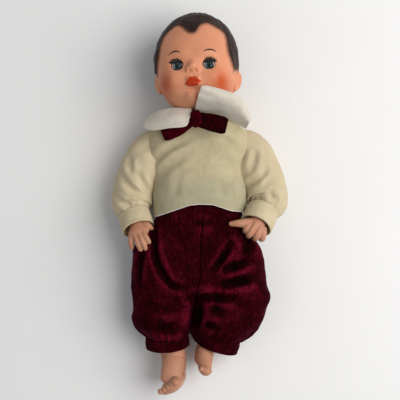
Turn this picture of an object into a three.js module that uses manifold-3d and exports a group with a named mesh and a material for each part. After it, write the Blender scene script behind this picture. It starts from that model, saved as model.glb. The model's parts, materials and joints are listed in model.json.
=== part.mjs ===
// A baby doll lying on its back, arms at its sides. Hollow vinyl head, arms and legs snap into a hollow
// body by round plug flanges, the sleep eyes rock on one axle, and the clothes are sewn cloth.
// Millimetres. +X is the doll's left, +Y points to its crown and +Z up from the floor to its front.

import * as THREE from 'three';
import { mergeVertices } from 'three/addons/utils/BufferGeometryUtils.js';
import Module from 'manifold-3d';

const wasm = await Module();
wasm.setup();

// Walls and clearances
const clearance = 0.3;
const vinylWall = 2.6;
const cloth = 1.6;
const floorCut = 0.5;

// Body shell
const bodyHalfWidth = 43;
const bodyDepth = 59;
const neckHeight = 97;
const shoulderHeight = 62;
const shoulderHalfSpan = 42;
const shoulderRise = 35;
const hipHeight = -78;
const hipHalfSpan = 24;
const hipRise = 33;
const hipSlant = 36.87;

// Plug flanges
const armPlugRadius = 10;
const legPlugRadius = 12;
const neckPlugRadius = 14;
const flangeOverlap = 2.8;
const flangeThickness = 2.4;
const neckPostRadius = 19;

// Head, in its own frame: x to the doll's left, y to the crown, z to the face
const headRise = 66;
const headPlace = new THREE.Vector3(-3.5, neckHeight + headRise, 56);
const headPitch = -8;
const headYaw = -6;
const headRoll = 1.8;
const headHalfWidth = 46.5;
const headCrown = 53;
const headChin = 62;
const headFace = 47;
const headBack = 54;
const headFrontWall = 6;
const crownRoundness = 2.05;
const jawRoundness = 2.75;
const hairRelief = 1.2;
const neckBack = -12;
const neckSeat = -50;
const noseHeight = 11;
const noseDrop = 4.6;
const mouthDrop = 18.7;
const earLength = 24;
const earWidth = 15;
const earThickness = 8;
const earDrop = 9;

// Sleep eyes
const eyeHalfSpan = 17.8;
const eyeHeight = -18.2;
const eyeSetback = 6.3;
const eyeOpeningRadius = 7.1;
const eyeballRadius = 7.8;
const irisRadius = 5;
const irisThickness = 0.7;
const lidThickness = 0.5;
const lidFrontAngle = 27;
const lashLength = 1.7;
const lashCount = 7;
const eyeCupWall = 1.2;
const axleRadius = 1.2;
const weightDrop = 15;
const weightRadius = 5;
const weightLength = 9;

// Limbs
const shoulderRadius = 15;
const elbowRadius = 12.5;
const wristRadius = 8.5;
const fingerRadius = 3.4;
const thighRadius = 24;
const kneeRadius = 18.5;
const toeRadius = 3.8;
const toePitch = 5.2;
const toeRise = 2.6;

// Clothes
const shirtEase = 3.2;
const sleeveCapRadius = 28;
const sleeveFlare = 0.45;
const sleeveHalfWidth = 23.5;
const sleeveCuffHalfWidth = 18.6;
const sleeveCuffHeight = 21;
const hemHeight = -12;
const waistHeight = 4;
const trouserHalfWidth = 78.5;
const trouserEase = 6;
const trouserCuffHalfWidth = 25.5;
const trouserCuffHalfDepth = 22.5;
const trouserCuffHeight = 18;
const bowWidth = 18.4;
const ribbon = 1.4;

const trouserDepth = bodyDepth + 2 * trouserEase;

const colours = {
  skin: 0xd9976f,
  cream: 0xd4c8a2,
  collar: 0xd8d2c6,
  velvet: 0x4a0a1c,
  white: 0xdcd8cf,
  iris: 0x35566a,
  clear: 0xe8f0f2,
  lash: 0x2b1d18,
  steel: 0x9a9a9a,
  lead: 0x5c5f64,
};

const vector = (x, y, z) => new THREE.Vector3(x, y, z);
const zAxis = vector(0, 0, 1);
const yAxis = vector(0, 1, 0);
const radians = THREE.MathUtils.degToRad;
const signedPower = (value, power) => Math.sign(value) * Math.abs(value) ** power;
const hump = (offset, spread) => Math.exp(-((offset / spread) ** 2));

// A point on a smooth curve through lists of numbers, for t from 0 to 1.
function along(keys, t) {
  const spans = keys.length - 1;
  const i = Math.min(Math.floor(t * spans), spans - 1);
  const f = t * spans - i;
  const before = keys[Math.max(i - 1, 0)];
  const after = keys[Math.min(i + 2, spans)];
  return keys[i].map((start, n) => {
    const end = keys[i + 1][n];
    const leave = (end - before[n]) / 2;
    const arrive = (after[n] - start) / 2;
    const bend = 2 * (start - end) + leave + arrive;
    const sag = 3 * (end - start) - 2 * leave - arrive;
    return ((bend * f + sag) * f + leave) * f + start;
  });
}

function sampled(keys, steps) {
  return Array.from({ length: steps + 1 }, (_, i) => along(keys, i / steps));
}

// Triangles between rings of equal length. A looped list joins its last ring to its first, and an open
// one is closed at each end by a fan. The surface is turned so that it faces out.
function skin(rings, looped = false) {
  const count = rings[0].length;
  const points = rings.flat();
  const triangles = [];
  const spans = looped ? rings.length : rings.length - 1;
  for (let i = 0; i < spans; i++) {
    const near = i * count;
    const far = ((i + 1) % rings.length) * count;
    for (let j = 0; j < count; j++) {
      const k = (j + 1) % count;
      triangles.push(near + j, near + k, far + k, near + j, far + k, far + j);
    }
  }
  if (!looped) {
    const ends = [rings[0], rings[rings.length - 1]];
    ends.forEach((ring, e) => {
      const centre = ring.reduce((sum, p) => sum.add(p), vector(0, 0, 0)).divideScalar(count);
      const first = e * (rings.length - 1) * count;
      points.push(centre);
      for (let j = 0; j < count; j++) {
        const pair = [first + j, first + (j + 1) % count];
        triangles.push(points.length - 1, pair[1 - e], pair[e]);
      }
    });
  }
  return facingOut(points, triangles);
}

function facingOut(points, triangles) {
  let volume = 0;
  for (let i = 0; i < triangles.length; i += 3) {
    const [a, b, c] = triangles.slice(i, i + 3).map((n) => points[n]);
    volume += a.dot(b.clone().cross(c));
  }
  const order = volume > 0 ? triangles : [...triangles].reverse();
  return new THREE.BufferGeometry().setFromPoints(points).setIndex(order);
}

// A thin sheet: a surface of (u, v) from 0 to 1, thickened to both sides.
function sheet(surface, uSteps, vSteps, thickness) {
  const points = [];
  const triangles = [];
  const small = 1e-3;
  const wide = vSteps + 1;
  const layer = (uSteps + 1) * wide;
  [0.5, -0.5].forEach((side) => {
    for (let i = 0; i <= uSteps; i++) {
      for (let j = 0; j <= vSteps; j++) {
        const [u, v] = [i / uSteps, j / vSteps];
        const alongU = surface(u + small, v).sub(surface(u - small, v));
        const alongV = surface(u, v + small).sub(surface(u, v - small));
        const normal = alongU.cross(alongV).normalize();
        points.push(surface(u, v).addScaledVector(normal, side * thickness));
      }
    }
  });
  const quad = (a, b, c, d) => triangles.push(a, b, c, a, c, d);
  for (let i = 0; i < uSteps; i++) {
    for (let j = 0; j < vSteps; j++) {
      const a = i * wide + j;
      quad(a, a + wide, a + wide + 1, a + 1);
      quad(layer + a, layer + a + 1, layer + a + wide + 1, layer + a + wide);
    }
    const low = i * wide;
    const high = low + vSteps;
    quad(low, layer + low, layer + low + wide, low + wide);
    quad(high, high + wide, layer + high + wide, layer + high);
  }
  for (let j = 0; j < vSteps; j++) {
    const end = uSteps * wide + j;
    quad(j, j + 1, layer + j + 1, layer + j);
    quad(end, layer + end, layer + end + 1, end + 1);
  }
  return facingOut(points, triangles);
}

// Rings across the body, each in a plane of constant y. A key is [y, middle x, middle z, half width, half
// depth]. Folds are an optional waviness, in millimetres, of (turn, place).
function bodyRings(keys, steps, count, { inset = 0, power = 2.4, folds } = {}) {
  return sampled(keys, steps).map(([y, x, z, width, depth], i) => {
    return Array.from({ length: count }, (_, j) => {
      const turn = (2 * Math.PI * j) / count;
      const wave = (folds ? folds(turn, i / steps) : 0) - inset;
      const across = (width + wave) * signedPower(Math.cos(turn), 2 / power);
      const up = (depth + wave) * signedPower(Math.sin(turn), 2 / power);
      return vector(x + across, y, z + up);
    });
  });
}

// Rings square to a path. A key is [x, y, z, half width, half thickness]. The first ring faces along
// `start` if that is given, `rounded` adds a round tip past the last key, and the half widths lie square
// to `upright`.
function limbRings(keys, steps, count, { inset = 0, start, rounded, folds, upright = zAxis } = {}) {
  const stops = sampled(keys, steps);
  const place = (i) => vector(...stops[Math.max(0, Math.min(i, steps))].slice(0, 3));
  const ring = (centre, direction, width, thickness, t) => {
    const side = direction.clone().cross(upright).normalize();
    const up = side.clone().cross(direction);
    return Array.from({ length: count }, (_, j) => {
      const turn = (2 * Math.PI * j) / count;
      const wave = (folds ? folds(turn, t) : 0) - inset;
      return centre.clone()
        .addScaledVector(side, (width + wave) * Math.cos(turn))
        .addScaledVector(up, (thickness + wave) * Math.sin(turn));
    });
  };
  const rings = stops.map(([, , , width, thickness], i) => {
    const direction = i === 0 && start ? start : place(i + 1).sub(place(i - 1)).normalize();
    return ring(place(i), direction, width, thickness, i / steps);
  });
  if (rounded) {
    const direction = place(steps).sub(place(steps - 1)).normalize();
    const [width, thickness] = stops[steps].slice(3);
    [[0.45, 0.86], [0.8, 0.5]].forEach(([reach, share]) => {
      const centre = place(steps).addScaledVector(direction, reach * Math.min(width, thickness));
      rings.push(ring(centre, direction, share * width, share * thickness, 1));
    });
  }
  return rings;
}

// Joining and cutting
function solid(geometry) {
  const bare = new THREE.BufferGeometry();
  const source = geometry.index ? geometry.toNonIndexed() : geometry;
  bare.setAttribute('position', source.getAttribute('position').clone());
  const merged = mergeVertices(bare, 1e-4);
  const mesh = new wasm.Mesh({
    numProp: 3,
    vertProperties: merged.attributes.position.array,
    triVerts: new Uint32Array(merged.index.array),
  });
  return new wasm.Manifold(mesh);
}

function geometryOf(shape) {
  const made = shape.getMesh();
  const geometry = new THREE.BufferGeometry();
  geometry.setAttribute('position', new THREE.BufferAttribute(made.vertProperties, 3));
  geometry.setIndex(new THREE.BufferAttribute(made.triVerts, 1));
  return geometry;
}

// Everything on the far side of a plane, as a large block that stands on it.
function beyond(point, normal) {
  const reach = 1200;
  const block = new THREE.BoxGeometry(reach, reach, reach);
  block.translate(0, 0, reach / 2);
  block.applyQuaternion(new THREE.Quaternion().setFromUnitVectors(vector(0, 0, 1), normal));
  block.translate(point.x, point.y, point.z);
  return solid(block);
}

// A turned profile of [radius, height] points about an axis through a point.
function turned(profile, segments, point, axis) {
  const lathe = new THREE.LatheGeometry(profile.map(([r, h]) => new THREE.Vector2(r, h)), segments);
  lathe.applyQuaternion(new THREE.Quaternion().setFromUnitVectors(vector(0, 1, 0), axis));
  lathe.translate(point.x, point.y, point.z);
  return lathe;
}

const rod = (radius, from, to, segments, point, axis) =>
  solid(turned([[0, from], [radius, from], [radius, to], [0, to]], segments, point, axis));

// Joint frames: each axis points out of the body, along the limb
const sides = { right: -1, left: 1 };
const shoulder = (side) => ({
  point: vector(side * shoulderHalfSpan, shoulderHeight, shoulderRise),
  axis: vector(side, 0, 0),
});
const hip = (side) => ({
  point: vector(side * hipHalfSpan, hipHeight, hipRise),
  axis: vector(side * Math.cos(radians(hipSlant)), -Math.sin(radians(hipSlant)), 0),
});

// Head frame in the doll's frame
const headTurn = new THREE.Euler(radians(headPitch), radians(headYaw), radians(headRoll), 'ZYX');
const headFrame = new THREE.Matrix4().makeRotationFromEuler(headTurn).setPosition(headPlace);
const neckTop = vector(0, neckSeat, neckBack).applyMatrix4(headFrame);
const neckAxis = vector(0, 1, 0).transformDirection(headFrame);

// A plug that snaps through a round hole in a wall: neck, then a wider flange behind the wall.
function plug(radius, { point, axis }, segments) {
  const flangeTop = -vinylWall - clearance;
  const flangeEnd = flangeTop - flangeThickness;
  const flange = radius + flangeOverlap;
  const profile = [
    [0, flangeEnd], [flange - 0.8, flangeEnd], [flange, flangeEnd + 0.8], [flange, flangeTop],
    [radius, flangeTop], [radius, 2], [0, 2],
  ];
  return solid(turned(profile, segments, point, axis));
}

// Body shell
function makeBody() {
  const backGap = cloth + clearance;
  const rise = (depth, lift) => backGap + lift + depth / 2;
  const key = (y, width, depth, lift) => [y, 0, rise(depth, lift), width, depth / 2];
  const seat = hipHeight - hipHalfSpan / Math.tan(radians(90 - hipSlant)) - 16;
  const keys = [
    key(seat, 14, bodyDepth - 32, 18),
    key(hipHeight - 18, bodyHalfWidth - 14, bodyDepth - 10, 4.5),
    key(hipHeight + 20, bodyHalfWidth - 1, bodyDepth, 1.5),
    key(waistHeight - 20, bodyHalfWidth, bodyDepth - 1, 2.2),
    key(waistHeight + 4, bodyHalfWidth - 0.5, bodyDepth - 1.5, 2.4),
    key(shoulderHeight - 26, bodyHalfWidth, bodyDepth - 2, 1.5),
    key(shoulderHeight, bodyHalfWidth + 13, bodyDepth - 5, 4),
    key(shoulderHeight + 17, bodyHalfWidth + 4, bodyDepth - 13, 9),
    key(neckHeight - 9, bodyHalfWidth - 15, bodyDepth - 21, 24),
    key(neckHeight, neckPostRadius + 0.5, 2 * neckPostRadius, 32),
  ];
  const cut = (shape, wall) => {
    let kept = shape.subtract(beyond(vector(0, neckHeight - wall, 0), vector(0, 1, 0)));
    Object.values(sides).forEach((side) => {
      [shoulder(side), hip(side)].forEach(({ point, axis }) => {
        kept = kept.subtract(beyond(point.clone().addScaledVector(axis, -wall), axis));
      });
    });
    return kept;
  };
  const outer = cut(solid(skin(bodyRings(keys, 9, 16))), 0);
  const inner = cut(solid(skin(bodyRings(keys, 9, 14, { inset: vinylWall }))), vinylWall);
  const top = vinylWall + clearance;
  const flange = neckPlugRadius + flangeOverlap;
  const neck = solid(turned([
    [0, -22], [neckPostRadius, -22], [neckPostRadius, -clearance], [neckPlugRadius, -clearance],
    [neckPlugRadius, top], [flange, top], [flange, top + flangeThickness - 1],
    [flange - 1, top + flangeThickness], [0, top + flangeThickness],
  ], 18, neckTop, neckAxis));
  let body = outer.add(neck).subtract(inner);
  body = body.subtract(rod(neckPlugRadius - vinylWall, -30, 20, 14, neckTop, neckAxis));
  Object.values(sides).forEach((side) => {
    const holes = [[shoulder(side), armPlugRadius], [hip(side), legPlugRadius]];
    holes.forEach(([{ point, axis }, radius]) => {
      body = body.subtract(rod(radius + clearance, -2 * vinylWall, 5, 16, point, axis));
    });
  });
  return body;
}

// Head surface
const hairline = (x) => 34 - 6 * hump(x + 1, 4.5) + 5 * hump(Math.abs(x) - 14, 9) - (x / 17.5) ** 4;

function faceRelief(x, y) {
  const [ax, mouth] = [Math.abs(x), eyeHeight - mouthDrop];
  return noseHeight * hump(x, 5.6) * hump(y - eyeHeight + noseDrop, 5.4)
    + 2.6 * hump(x, 5.5) * hump(y - eyeHeight - 6, 8)
    + 4.6 * hump(x, 9) * hump(y - mouth, 5)
    + 5.5 * hump(x, 12) * hump(y + headChin - 6, 8)
    + 4.2 * hump(ax - 25, 12) * hump(y - mouth - 5, 13)
    + 1.6 * hump(ax - 15, 12) * hump(y - eyeHeight - 14, 6)
    - 3.2 * hump(ax - eyeHalfSpan, 8) * hump(y - eyeHeight, 7);
}

function headSize(shrink) {
  const { side, front, back, crown, chin } = shrink;
  return {
    x: () => headHalfWidth - side,
    y: (up) => (up > 0 ? headCrown - crown : headChin - chin),
    z: (forward) => (forward > 0 ? headFace - front : headBack - back),
  };
}

const headOuter = headSize({ side: 0, front: 0, back: 0, crown: 0, chin: 0 });
const cavitySize = (extra) => headSize({
  side: vinylWall + hairRelief + extra,
  front: headFrontWall + extra,
  back: vinylWall + hairRelief + extra,
  crown: vinylWall + hairRelief + extra,
  chin: headFrontWall + extra,
});

// The jaw is squarer than the crown.
function headPower(up) {
  return THREE.MathUtils.lerp(jawRoundness, crownRoundness, THREE.MathUtils.smoothstep(up, -0.8, 0.8));
}

function headReach(size, direction) {
  const power = headPower(direction.y);
  const parts = ['x', 'y', 'z'].map((n) => Math.abs(direction[n] / size[n](direction[n])) ** power);
  return (parts[0] + parts[1] + parts[2]) ** (-1 / power);
}

// Rings from crown to chin, closer together round the face.
function headRings(size, around, down, dressed) {
  return Array.from({ length: down }, (_, i) => {
    const fall = (Math.PI * (i + 0.5)) / down;
    return Array.from({ length: around }, (_, j) => {
      const even = (2 * Math.PI * j) / around;
      const turn = even - 0.42 * Math.sin(even);
      const flat = Math.sin(fall);
      const direction = vector(flat * Math.sin(turn), Math.cos(fall), flat * Math.cos(turn));
      const point = direction.clone().multiplyScalar(headReach(size, direction));
      if (dressed) {
        const front = THREE.MathUtils.smoothstep(direction.z, 0.05, 0.45);
        const hair = THREE.MathUtils.smoothstep(point.y - mixHairline(point), -1.5, 2.5);
        point.z += front * faceRelief(point.x, point.y);
        point.addScaledVector(direction, hair * hairRelief);
      }
      return point;
    });
  });
}

// The hairline dips behind the ears and runs low round the back of the head.
function mixHairline(point) {
  const behind = THREE.MathUtils.smoothstep(-point.z, -18, 12);
  return THREE.MathUtils.lerp(hairline(point.x), neckSeat + 14, behind);
}

function faceDepth(x, y) {
  let depth = headFace;
  for (let n = 0; n < 4; n++) {
    const power = headPower(y / Math.hypot(x, y, depth));
    const rest = 1 - (Math.abs(x) / headHalfWidth) ** power - (Math.abs(y) / headChin) ** power;
    depth = headFace * rest ** (1 / power);
  }
  return depth + faceRelief(x, y);
}

const eyeDepth = faceDepth(eyeHalfSpan, eyeHeight) - eyeSetback;
const lidInner = eyeballRadius + clearance;
const lidOuter = lidInner + lidThickness;
const socketRadius = lidOuter + clearance;
const eyePlace = (side) => vector(side * eyeHalfSpan, eyeHeight, eyeDepth);

function ball(radius, point, around, down) {
  const geometry = new THREE.SphereGeometry(radius, around, down);
  return solid(geometry.translate(point.x, point.y, point.z));
}

function makeHead() {
  const cavity = solid(skin(headRings(cavitySize(0), 14, 10, false)));
  const floor = beyond(vector(0, neckSeat + vinylWall, 0), vector(0, -1, 0));
  const seatCut = rod(neckPostRadius + 4, -40, 0, 18, vector(0, neckSeat, neckBack), vector(0, 1, 0));
  let head = solid(skin(headRings(headOuter, 32, 23, true))).subtract(seatCut);
  Object.values(sides).forEach((side) => {
    const ear = new THREE.SphereGeometry(1, 9, 7).scale(earThickness / 2, earLength / 2, earWidth / 2);
    ear.rotateX(radians(-10)).rotateY(side * radians(22));
    ear.translate(side * (headHalfWidth - 0.3), eyeHeight - earDrop, -3);
    head = head.add(solid(ear));
  });
  head = head.subtract(cavity.subtract(floor));
  Object.values(sides).forEach((side) => {
    head = head.subtract(ball(socketRadius, eyePlace(side), 14, 10));
    head = head.subtract(rod(eyeOpeningRadius, 0, 20, 16, eyePlace(side), zAxis));
  });
  const bore = rod(neckPlugRadius + clearance, -10, 12, 18, vector(0, neckSeat, neckBack), vector(0, 1, 0));
  return head.subtract(bore);
}

// A cup behind each eyeball, shaped to the inside of the face, with a bearing hole for the axle.
function makeEyeCup(side) {
  const inner = socketRadius + clearance;
  const room = solid(skin(headRings(cavitySize(clearance), 14, 10, false)));
  const cup = ball(inner + eyeCupWall, eyePlace(side), 10, 7).intersect(room);
  const bearing = rod(axleRadius + clearance, 0, 2 * inner, 8, eyePlace(side), vector(-side, 0, 0));
  return cup.subtract(ball(inner, eyePlace(side), 10, 7)).subtract(bearing);
}

// Eyes, in a frame on the axle: x along the axle, z to the face
const irisFloor = Math.sqrt(eyeballRadius ** 2 - (irisRadius + clearance) ** 2) - 1.5;
const lensFloor = irisFloor + irisThickness + 2 * clearance;

function arc(radius, from, to, steps) {
  return Array.from({ length: steps + 1 }, (_, i) => {
    const angle = from + ((to - from) * i) / steps;
    return [radius * Math.sin(angle), radius * Math.cos(angle)];
  });
}

function makeEyeball(side) {
  const rim = Math.asin((irisRadius + clearance) / eyeballRadius);
  const round = arc(eyeballRadius, Math.PI, rim, 7);
  round[0][0] = 0;
  const profile = [...round, [irisRadius + clearance, irisFloor], [0, irisFloor]];
  return turned(profile, 16, vector(side * eyeHalfSpan, 0, 0), vector(0, 0, 1));
}

function makeIris(side) {
  const [low, high] = [irisFloor + clearance, irisFloor + clearance + irisThickness];
  const profile = [[0, low], [irisRadius, low], [irisRadius, high], [0, high - 0.3]];
  return turned(profile, 16, vector(side * eyeHalfSpan, 0, 0), vector(0, 0, 1));
}

function makeLens(side) {
  const dome = arc(eyeballRadius, Math.asin(irisRadius / eyeballRadius), 0, 3);
  dome[3][0] = 0;
  const profile = [[0, lensFloor], [irisRadius, lensFloor], ...dome];
  return turned(profile, 16, vector(side * eyeHalfSpan, 0, 0), vector(0, 0, 1));
}

// A place on a ball round the eye: lift from straight ahead towards the crown, and swing to the side.
function onEye(side, radius, lift, swing) {
  const flat = radius * Math.cos(swing);
  const x = side * eyeHalfSpan + radius * Math.sin(swing);
  return vector(x, flat * Math.sin(lift), flat * Math.cos(lift));
}

function makeEyelid(side) {
  const [front, back, reach] = [radians(lidFrontAngle), radians(165), radians(68)];
  const middle = lidInner + lidThickness / 2;
  const surface = (u, v) => onEye(side, middle, front + (back - front) * v, reach * (2 * u - 1));
  return sheet(surface, 7, 7, lidThickness);
}

// The lashes are one strip along the lid's edge, cut into points.
function makeLashes(side) {
  const reach = radians(15);
  const lift = radians(lidFrontAngle - 6);
  const surface = (u, v) => {
    const inPoint = Math.abs((((u * lashCount) % 1) + 1) % 1 - 0.5) * 2;
    const length = lashLength * (1 - 0.7 * inPoint);
    const curl = radians(3) * v * v;
    const spread = 1 + 0.12 * v;
    const swing = side * radians(5) + spread * reach * (2 * u - 1);
    return onEye(side, eyeballRadius + clearance + length * v, lift - curl, swing);
  };
  return sheet(surface, 2 * lashCount, 1, 0.5);
}

// The weight hangs below and behind the axle.
const weightSide = vector(0, -0.75, -0.66).normalize();

function makeAxle() {
  const half = eyeHalfSpan - eyeballRadius - clearance;
  const bar = rod(axleRadius, -half, half, 8, vector(0, 0, 0), vector(1, 0, 0));
  return bar.add(rod(axleRadius, 0, weightDrop, 8, vector(0, 0, 0), weightSide));
}

function makeWeight() {
  const bore = axleRadius + clearance;
  const top = weightDrop - weightLength / 2;
  const profile = [
    [0, top + weightLength], [0, weightDrop + clearance], [bore, weightDrop + clearance], [bore, top],
    [weightRadius - 1, top], [weightRadius, top + 1], [weightRadius, top + weightLength - 1],
    [weightRadius - 1, top + weightLength], [0, top + weightLength],
  ];
  return turned(profile, 10, vector(0, 0, 0), weightSide);
}

// Limbs: a hollow loft that starts flat on its joint face, with its plug and what is on its end
function hollowLimb(keys, joint, plugRadius, steps, ends) {
  const path = [...keys];
  const start = joint.point.clone().addScaledVector(joint.axis, clearance);
  path[0] = [start.x, start.y, start.z, ...keys[0].slice(3)];
  let limb = solid(skin(limbRings(path, steps, 12, { start: joint.axis, rounded: true })));
  limb = limb.intersect(beyond(start, joint.axis));
  ends.forEach((piece) => {
    limb = limb.add(solid(piece));
  });
  const inside = limbRings(path, steps, 8, { inset: vinylWall, start: joint.axis });
  const hollow = solid(skin(inside.slice(0, Math.ceil(steps * 0.75))));
  const mouth = beyond(start.clone().addScaledVector(joint.axis, vinylWall), joint.axis);
  const bore = rod(plugRadius - vinylWall, -12, 12, 12, joint.point, joint.axis);
  return limb.add(plug(plugRadius, joint, 14)).subtract(hollow.intersect(mouth)).subtract(bore);
}

function digit(points, radius, upright) {
  const keys = points.map((p, i) => [...p, radius * (1 - 0.06 * i), radius * (1 - 0.06 * i)]);
  return skin(limbRings(keys, points.length, 6, { rounded: true, upright }));
}

// Arm and forearm, from the shoulder by the elbow to the palm
const armPaths = {
  right: [[-52, 58, 34], [-66, 38, 31], [-77.5, 10, 31], [-77, -10, 39], [-73, -25, 51], [-71, -37, 61]],
  left: [[52, 58, 34], [66, 38, 31], [77.5, 12, 33], [76, -4, 43], [70, -17, 56], [64.5, -29, 67]],
};
const palms = { right: [12, 6.3], left: [11, 9.5] };

// Each finger runs from the palm through its joints. The right hand lies open and the left is a loose fist.
const fingers = {
  right: [
    [[-67.5, -35.5, 64], [-62.5, -43, 68], [-59.5, -48, 67.5]],
    [[-72, -38, 64], [-66.5, -47.5, 68], [-63, -55.5, 66]],
    [[-76, -40, 63], [-72, -49.5, 66], [-69, -56.5, 64]],
    [[-79, -40, 61], [-79.6, -48, 62], [-79.5, -54, 60.5]],
    [[-66, -27, 57], [-59.5, -29, 62], [-54, -29.8, 63]],
  ],
  left: [
    [[58, -27, 72], [52.8, -33.5, 75.5], [52, -35, 70]],
    [[63, -29, 73.5], [56.4, -39.5, 76.5], [55.6, -40.5, 70]],
    [[68.5, -31, 72], [64, -43, 74.5], [63, -43.5, 68]],
    [[72.5, -32, 69], [71.5, -43.5, 70.5], [70.5, -44, 65]],
    [[58, -23, 70], [46, -25.5, 75], [35, -27, 75]],
  ],
};

function makeArm(name) {
  const joint = shoulder(sides[name]);
  const widths = [
    [shoulderRadius, shoulderRadius], [shoulderRadius, shoulderRadius],
    [elbowRadius + 1, elbowRadius + 1], [elbowRadius, elbowRadius],
    [elbowRadius - 1, elbowRadius - 1], [wristRadius, wristRadius], palms[name],
  ];
  const path = [joint.point.toArray(), ...armPaths[name]].map((p, i) => [...p, ...widths[i]]);
  return hollowLimb(path, joint, armPlugRadius, 11, fingers[name].map((f) => digit(f, fingerRadius)));
}

// Thigh, knee, calf and ankle, then a foot of a heel, a ball and five toes
const legPaths = {
  right: [[-36, -90, 33], [-41, -110, 34], [-40, -138, 33], [-37, -162, 30], [-31, -188, 27], [-30, -200, 24]],
  left: [[36, -90, 34], [39, -108, 36], [33, -134, 35], [21, -158, 30], [8.5, -178, 28], [6, -188, 24]],
};
// The oval ankles are turned with the feet: half width and half depth of each
const ankles = { right: [14.4, 13], left: [11.8, 13] };
// Each foot points up. Its row runs along the toes, from the least to the big toe.
const feet = {
  right: {
    heel: [-26.5, -202, 17], instep: [-30, -206, 34], ball: [-34.5, -211.5, 48.5], toes: [-37, -215.5, 57],
    row: [0.82, 0.57, 0], breadth: 1,
  },
  left: {
    heel: [5, -190.5, 17], instep: [5, -192.5, 33], ball: [5.5, -195, 46], toes: [6, -197, 54],
    row: [-0.94, 0.34, 0], breadth: 0.8,
  },
};

function makeLeg(name) {
  const joint = hip(sides[name]);
  const side = sides[name];
  const round = (radius) => [radius, radius];
  const widths = [
    round(thighRadius), round(thighRadius), round(thighRadius - 1.5), round(kneeRadius), round(kneeRadius - 2),
    ankles[name], ankles[name],
  ];
  const path = [joint.point.toArray(), ...legPaths[name]].map((p, i) => [...p, ...widths[i]]);
  const { heel, instep, ball: footBall, toes, breadth } = feet[name];
  const row = vector(...feet[name].row).normalize();
  const dorsal = row.clone().cross(zAxis).multiplyScalar(side);
  const foot = skin(limbRings([
    [heel[0], heel[1], heel[2] - 5, 8, 8], [...heel, 13.2 * breadth, 12], [...instep, 13 * breadth, 10],
    [...footBall, 13.6 * breadth, 8.6], [...toes, 12.4 * breadth, 6],
  ], 6, 10, { rounded: true, upright: dorsal }));
  const pieces = [foot];
  for (let n = 0; n < 5; n++) {
    const reach = 1 - 0.13 * n;
    const radius = toeRadius * breadth * (n === 0 ? 1.3 : 1 - 0.06 * n);
    const root = vector(...toes).addScaledVector(row, (2 - n) * toePitch * breadth);
    const base = root.clone().addScaledVector(dorsal, toeRise).addScaledVector(zAxis, -4);
    const tip = root.clone().addScaledVector(dorsal, toeRise).addScaledVector(zAxis, 4.6 * reach);
    pieces.push(digit([base.toArray(), tip.toArray()], radius, dorsal));
  }
  return hollowLimb(path, joint, legPlugRadius, 9, pieces);
}

// Clothes
const layFlat = (shape) => shape.subtract(beyond(vector(0, 0, 0), vector(0, 0, -1)));

// The shirt ends and each sleeve starts on a turned surface round the shoulder joint, so the arm can swing.
function sleeveSide(side, offset) {
  const { point, axis } = shoulder(side);
  const start = cloth + 0.7;
  const wide = 130;
  const flare = start + sleeveFlare * (wide - sleeveCapRadius);
  const profile = [
    [0, start + offset], [sleeveCapRadius, start + offset], [wide, flare + offset], [wide, wide], [0, wide],
  ];
  return solid(turned(profile, 28, point, axis));
}

function shirtKeys() {
  const back = (depth) => depth / 2 - floorCut;
  const side = bodyHalfWidth + shirtEase;
  const key = (y, width, depth, lift) => [y, 0, back(depth) + lift, width, depth / 2];
  const deep = bodyDepth + 2 * shirtEase;
  return [
    key(hemHeight, side + 8.5, deep + 6, 0),
    key(hemHeight + 24, side + 8, deep + 6, 0),
    key(shoulderHeight - 26, side + 4, deep + 3, 0),
    key(shoulderHeight - 2, side + 10.5, deep, 2),
    key(shoulderHeight + 15, side + 7.5, deep - 4, 5),
    key(neckHeight - 8.5, bodyHalfWidth - 5, bodyDepth, 16.5),
    key(neckHeight - 0.5, neckPostRadius + 6, 2 * neckPostRadius + 12, 28.5),
    key(neckHeight + 3.5, neckPostRadius + cloth + 1.5, 2 * neckPostRadius + 6.4, 31.5),
  ];
}

function makeShirt() {
  const folds = (turn, place) => {
    const fade = 1 - THREE.MathUtils.smoothstep(place, 0.2, 0.6);
    const front = THREE.MathUtils.smoothstep(Math.sin(turn), -0.1, 0.4);
    return 1.2 * fade * front * Math.sin(6 * turn + 4 * place);
  };
  const outer = bodyRings(shirtKeys(), 8, 28, { folds });
  const inner = bodyRings(shirtKeys(), 8, 28, { folds, inset: cloth });
  const droop = (ring, depth) => ring.forEach((p) => {
    const sideways = Math.abs(p.x) / bodyHalfWidth;
    p.y -= depth * THREE.MathUtils.smoothstep(sideways, 0.3, 1.2) - 0.04 * p.x;
  });
  [outer[0], inner[0]].forEach((ring) => droop(ring, 5));
  let shirt = solid(skin([...outer, ...inner.reverse()], true));
  Object.values(sides).forEach((side) => {
    const { point, axis } = shoulder(side);
    shirt = shirt.subtract(sleeveSide(side, -clearance));
    shirt = shirt.subtract(rod(shoulderRadius + 1.5, -3, 20, 18, point, axis));
  });
  return layFlat(shirt);
}

// A sleeve runs from its cap over the shoulder, blouses at the elbow and is drawn in to its cuff.
const sleevePaths = {
  right: [[-46, 61, 34, 1.17], [-58, 50, 32, 1.15], [-71, 29, 30, 1.1], [-78, 10, 30, 1], [-78, -4, 34, 0.93]],
  left: [[46, 61, 34, 1.17], [58, 50, 32, 1.15], [71, 30, 30, 1.1], [79, 12, 32, 1], [78, -1, 40, 0.93]],
};
const cuffPaths = {
  right: [[-78, -3.2, 36], [-74.5, -21, 45.5]],
  left: [[78.5, 1, 40.5], [72.5, -15, 53.5]],
};

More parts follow.
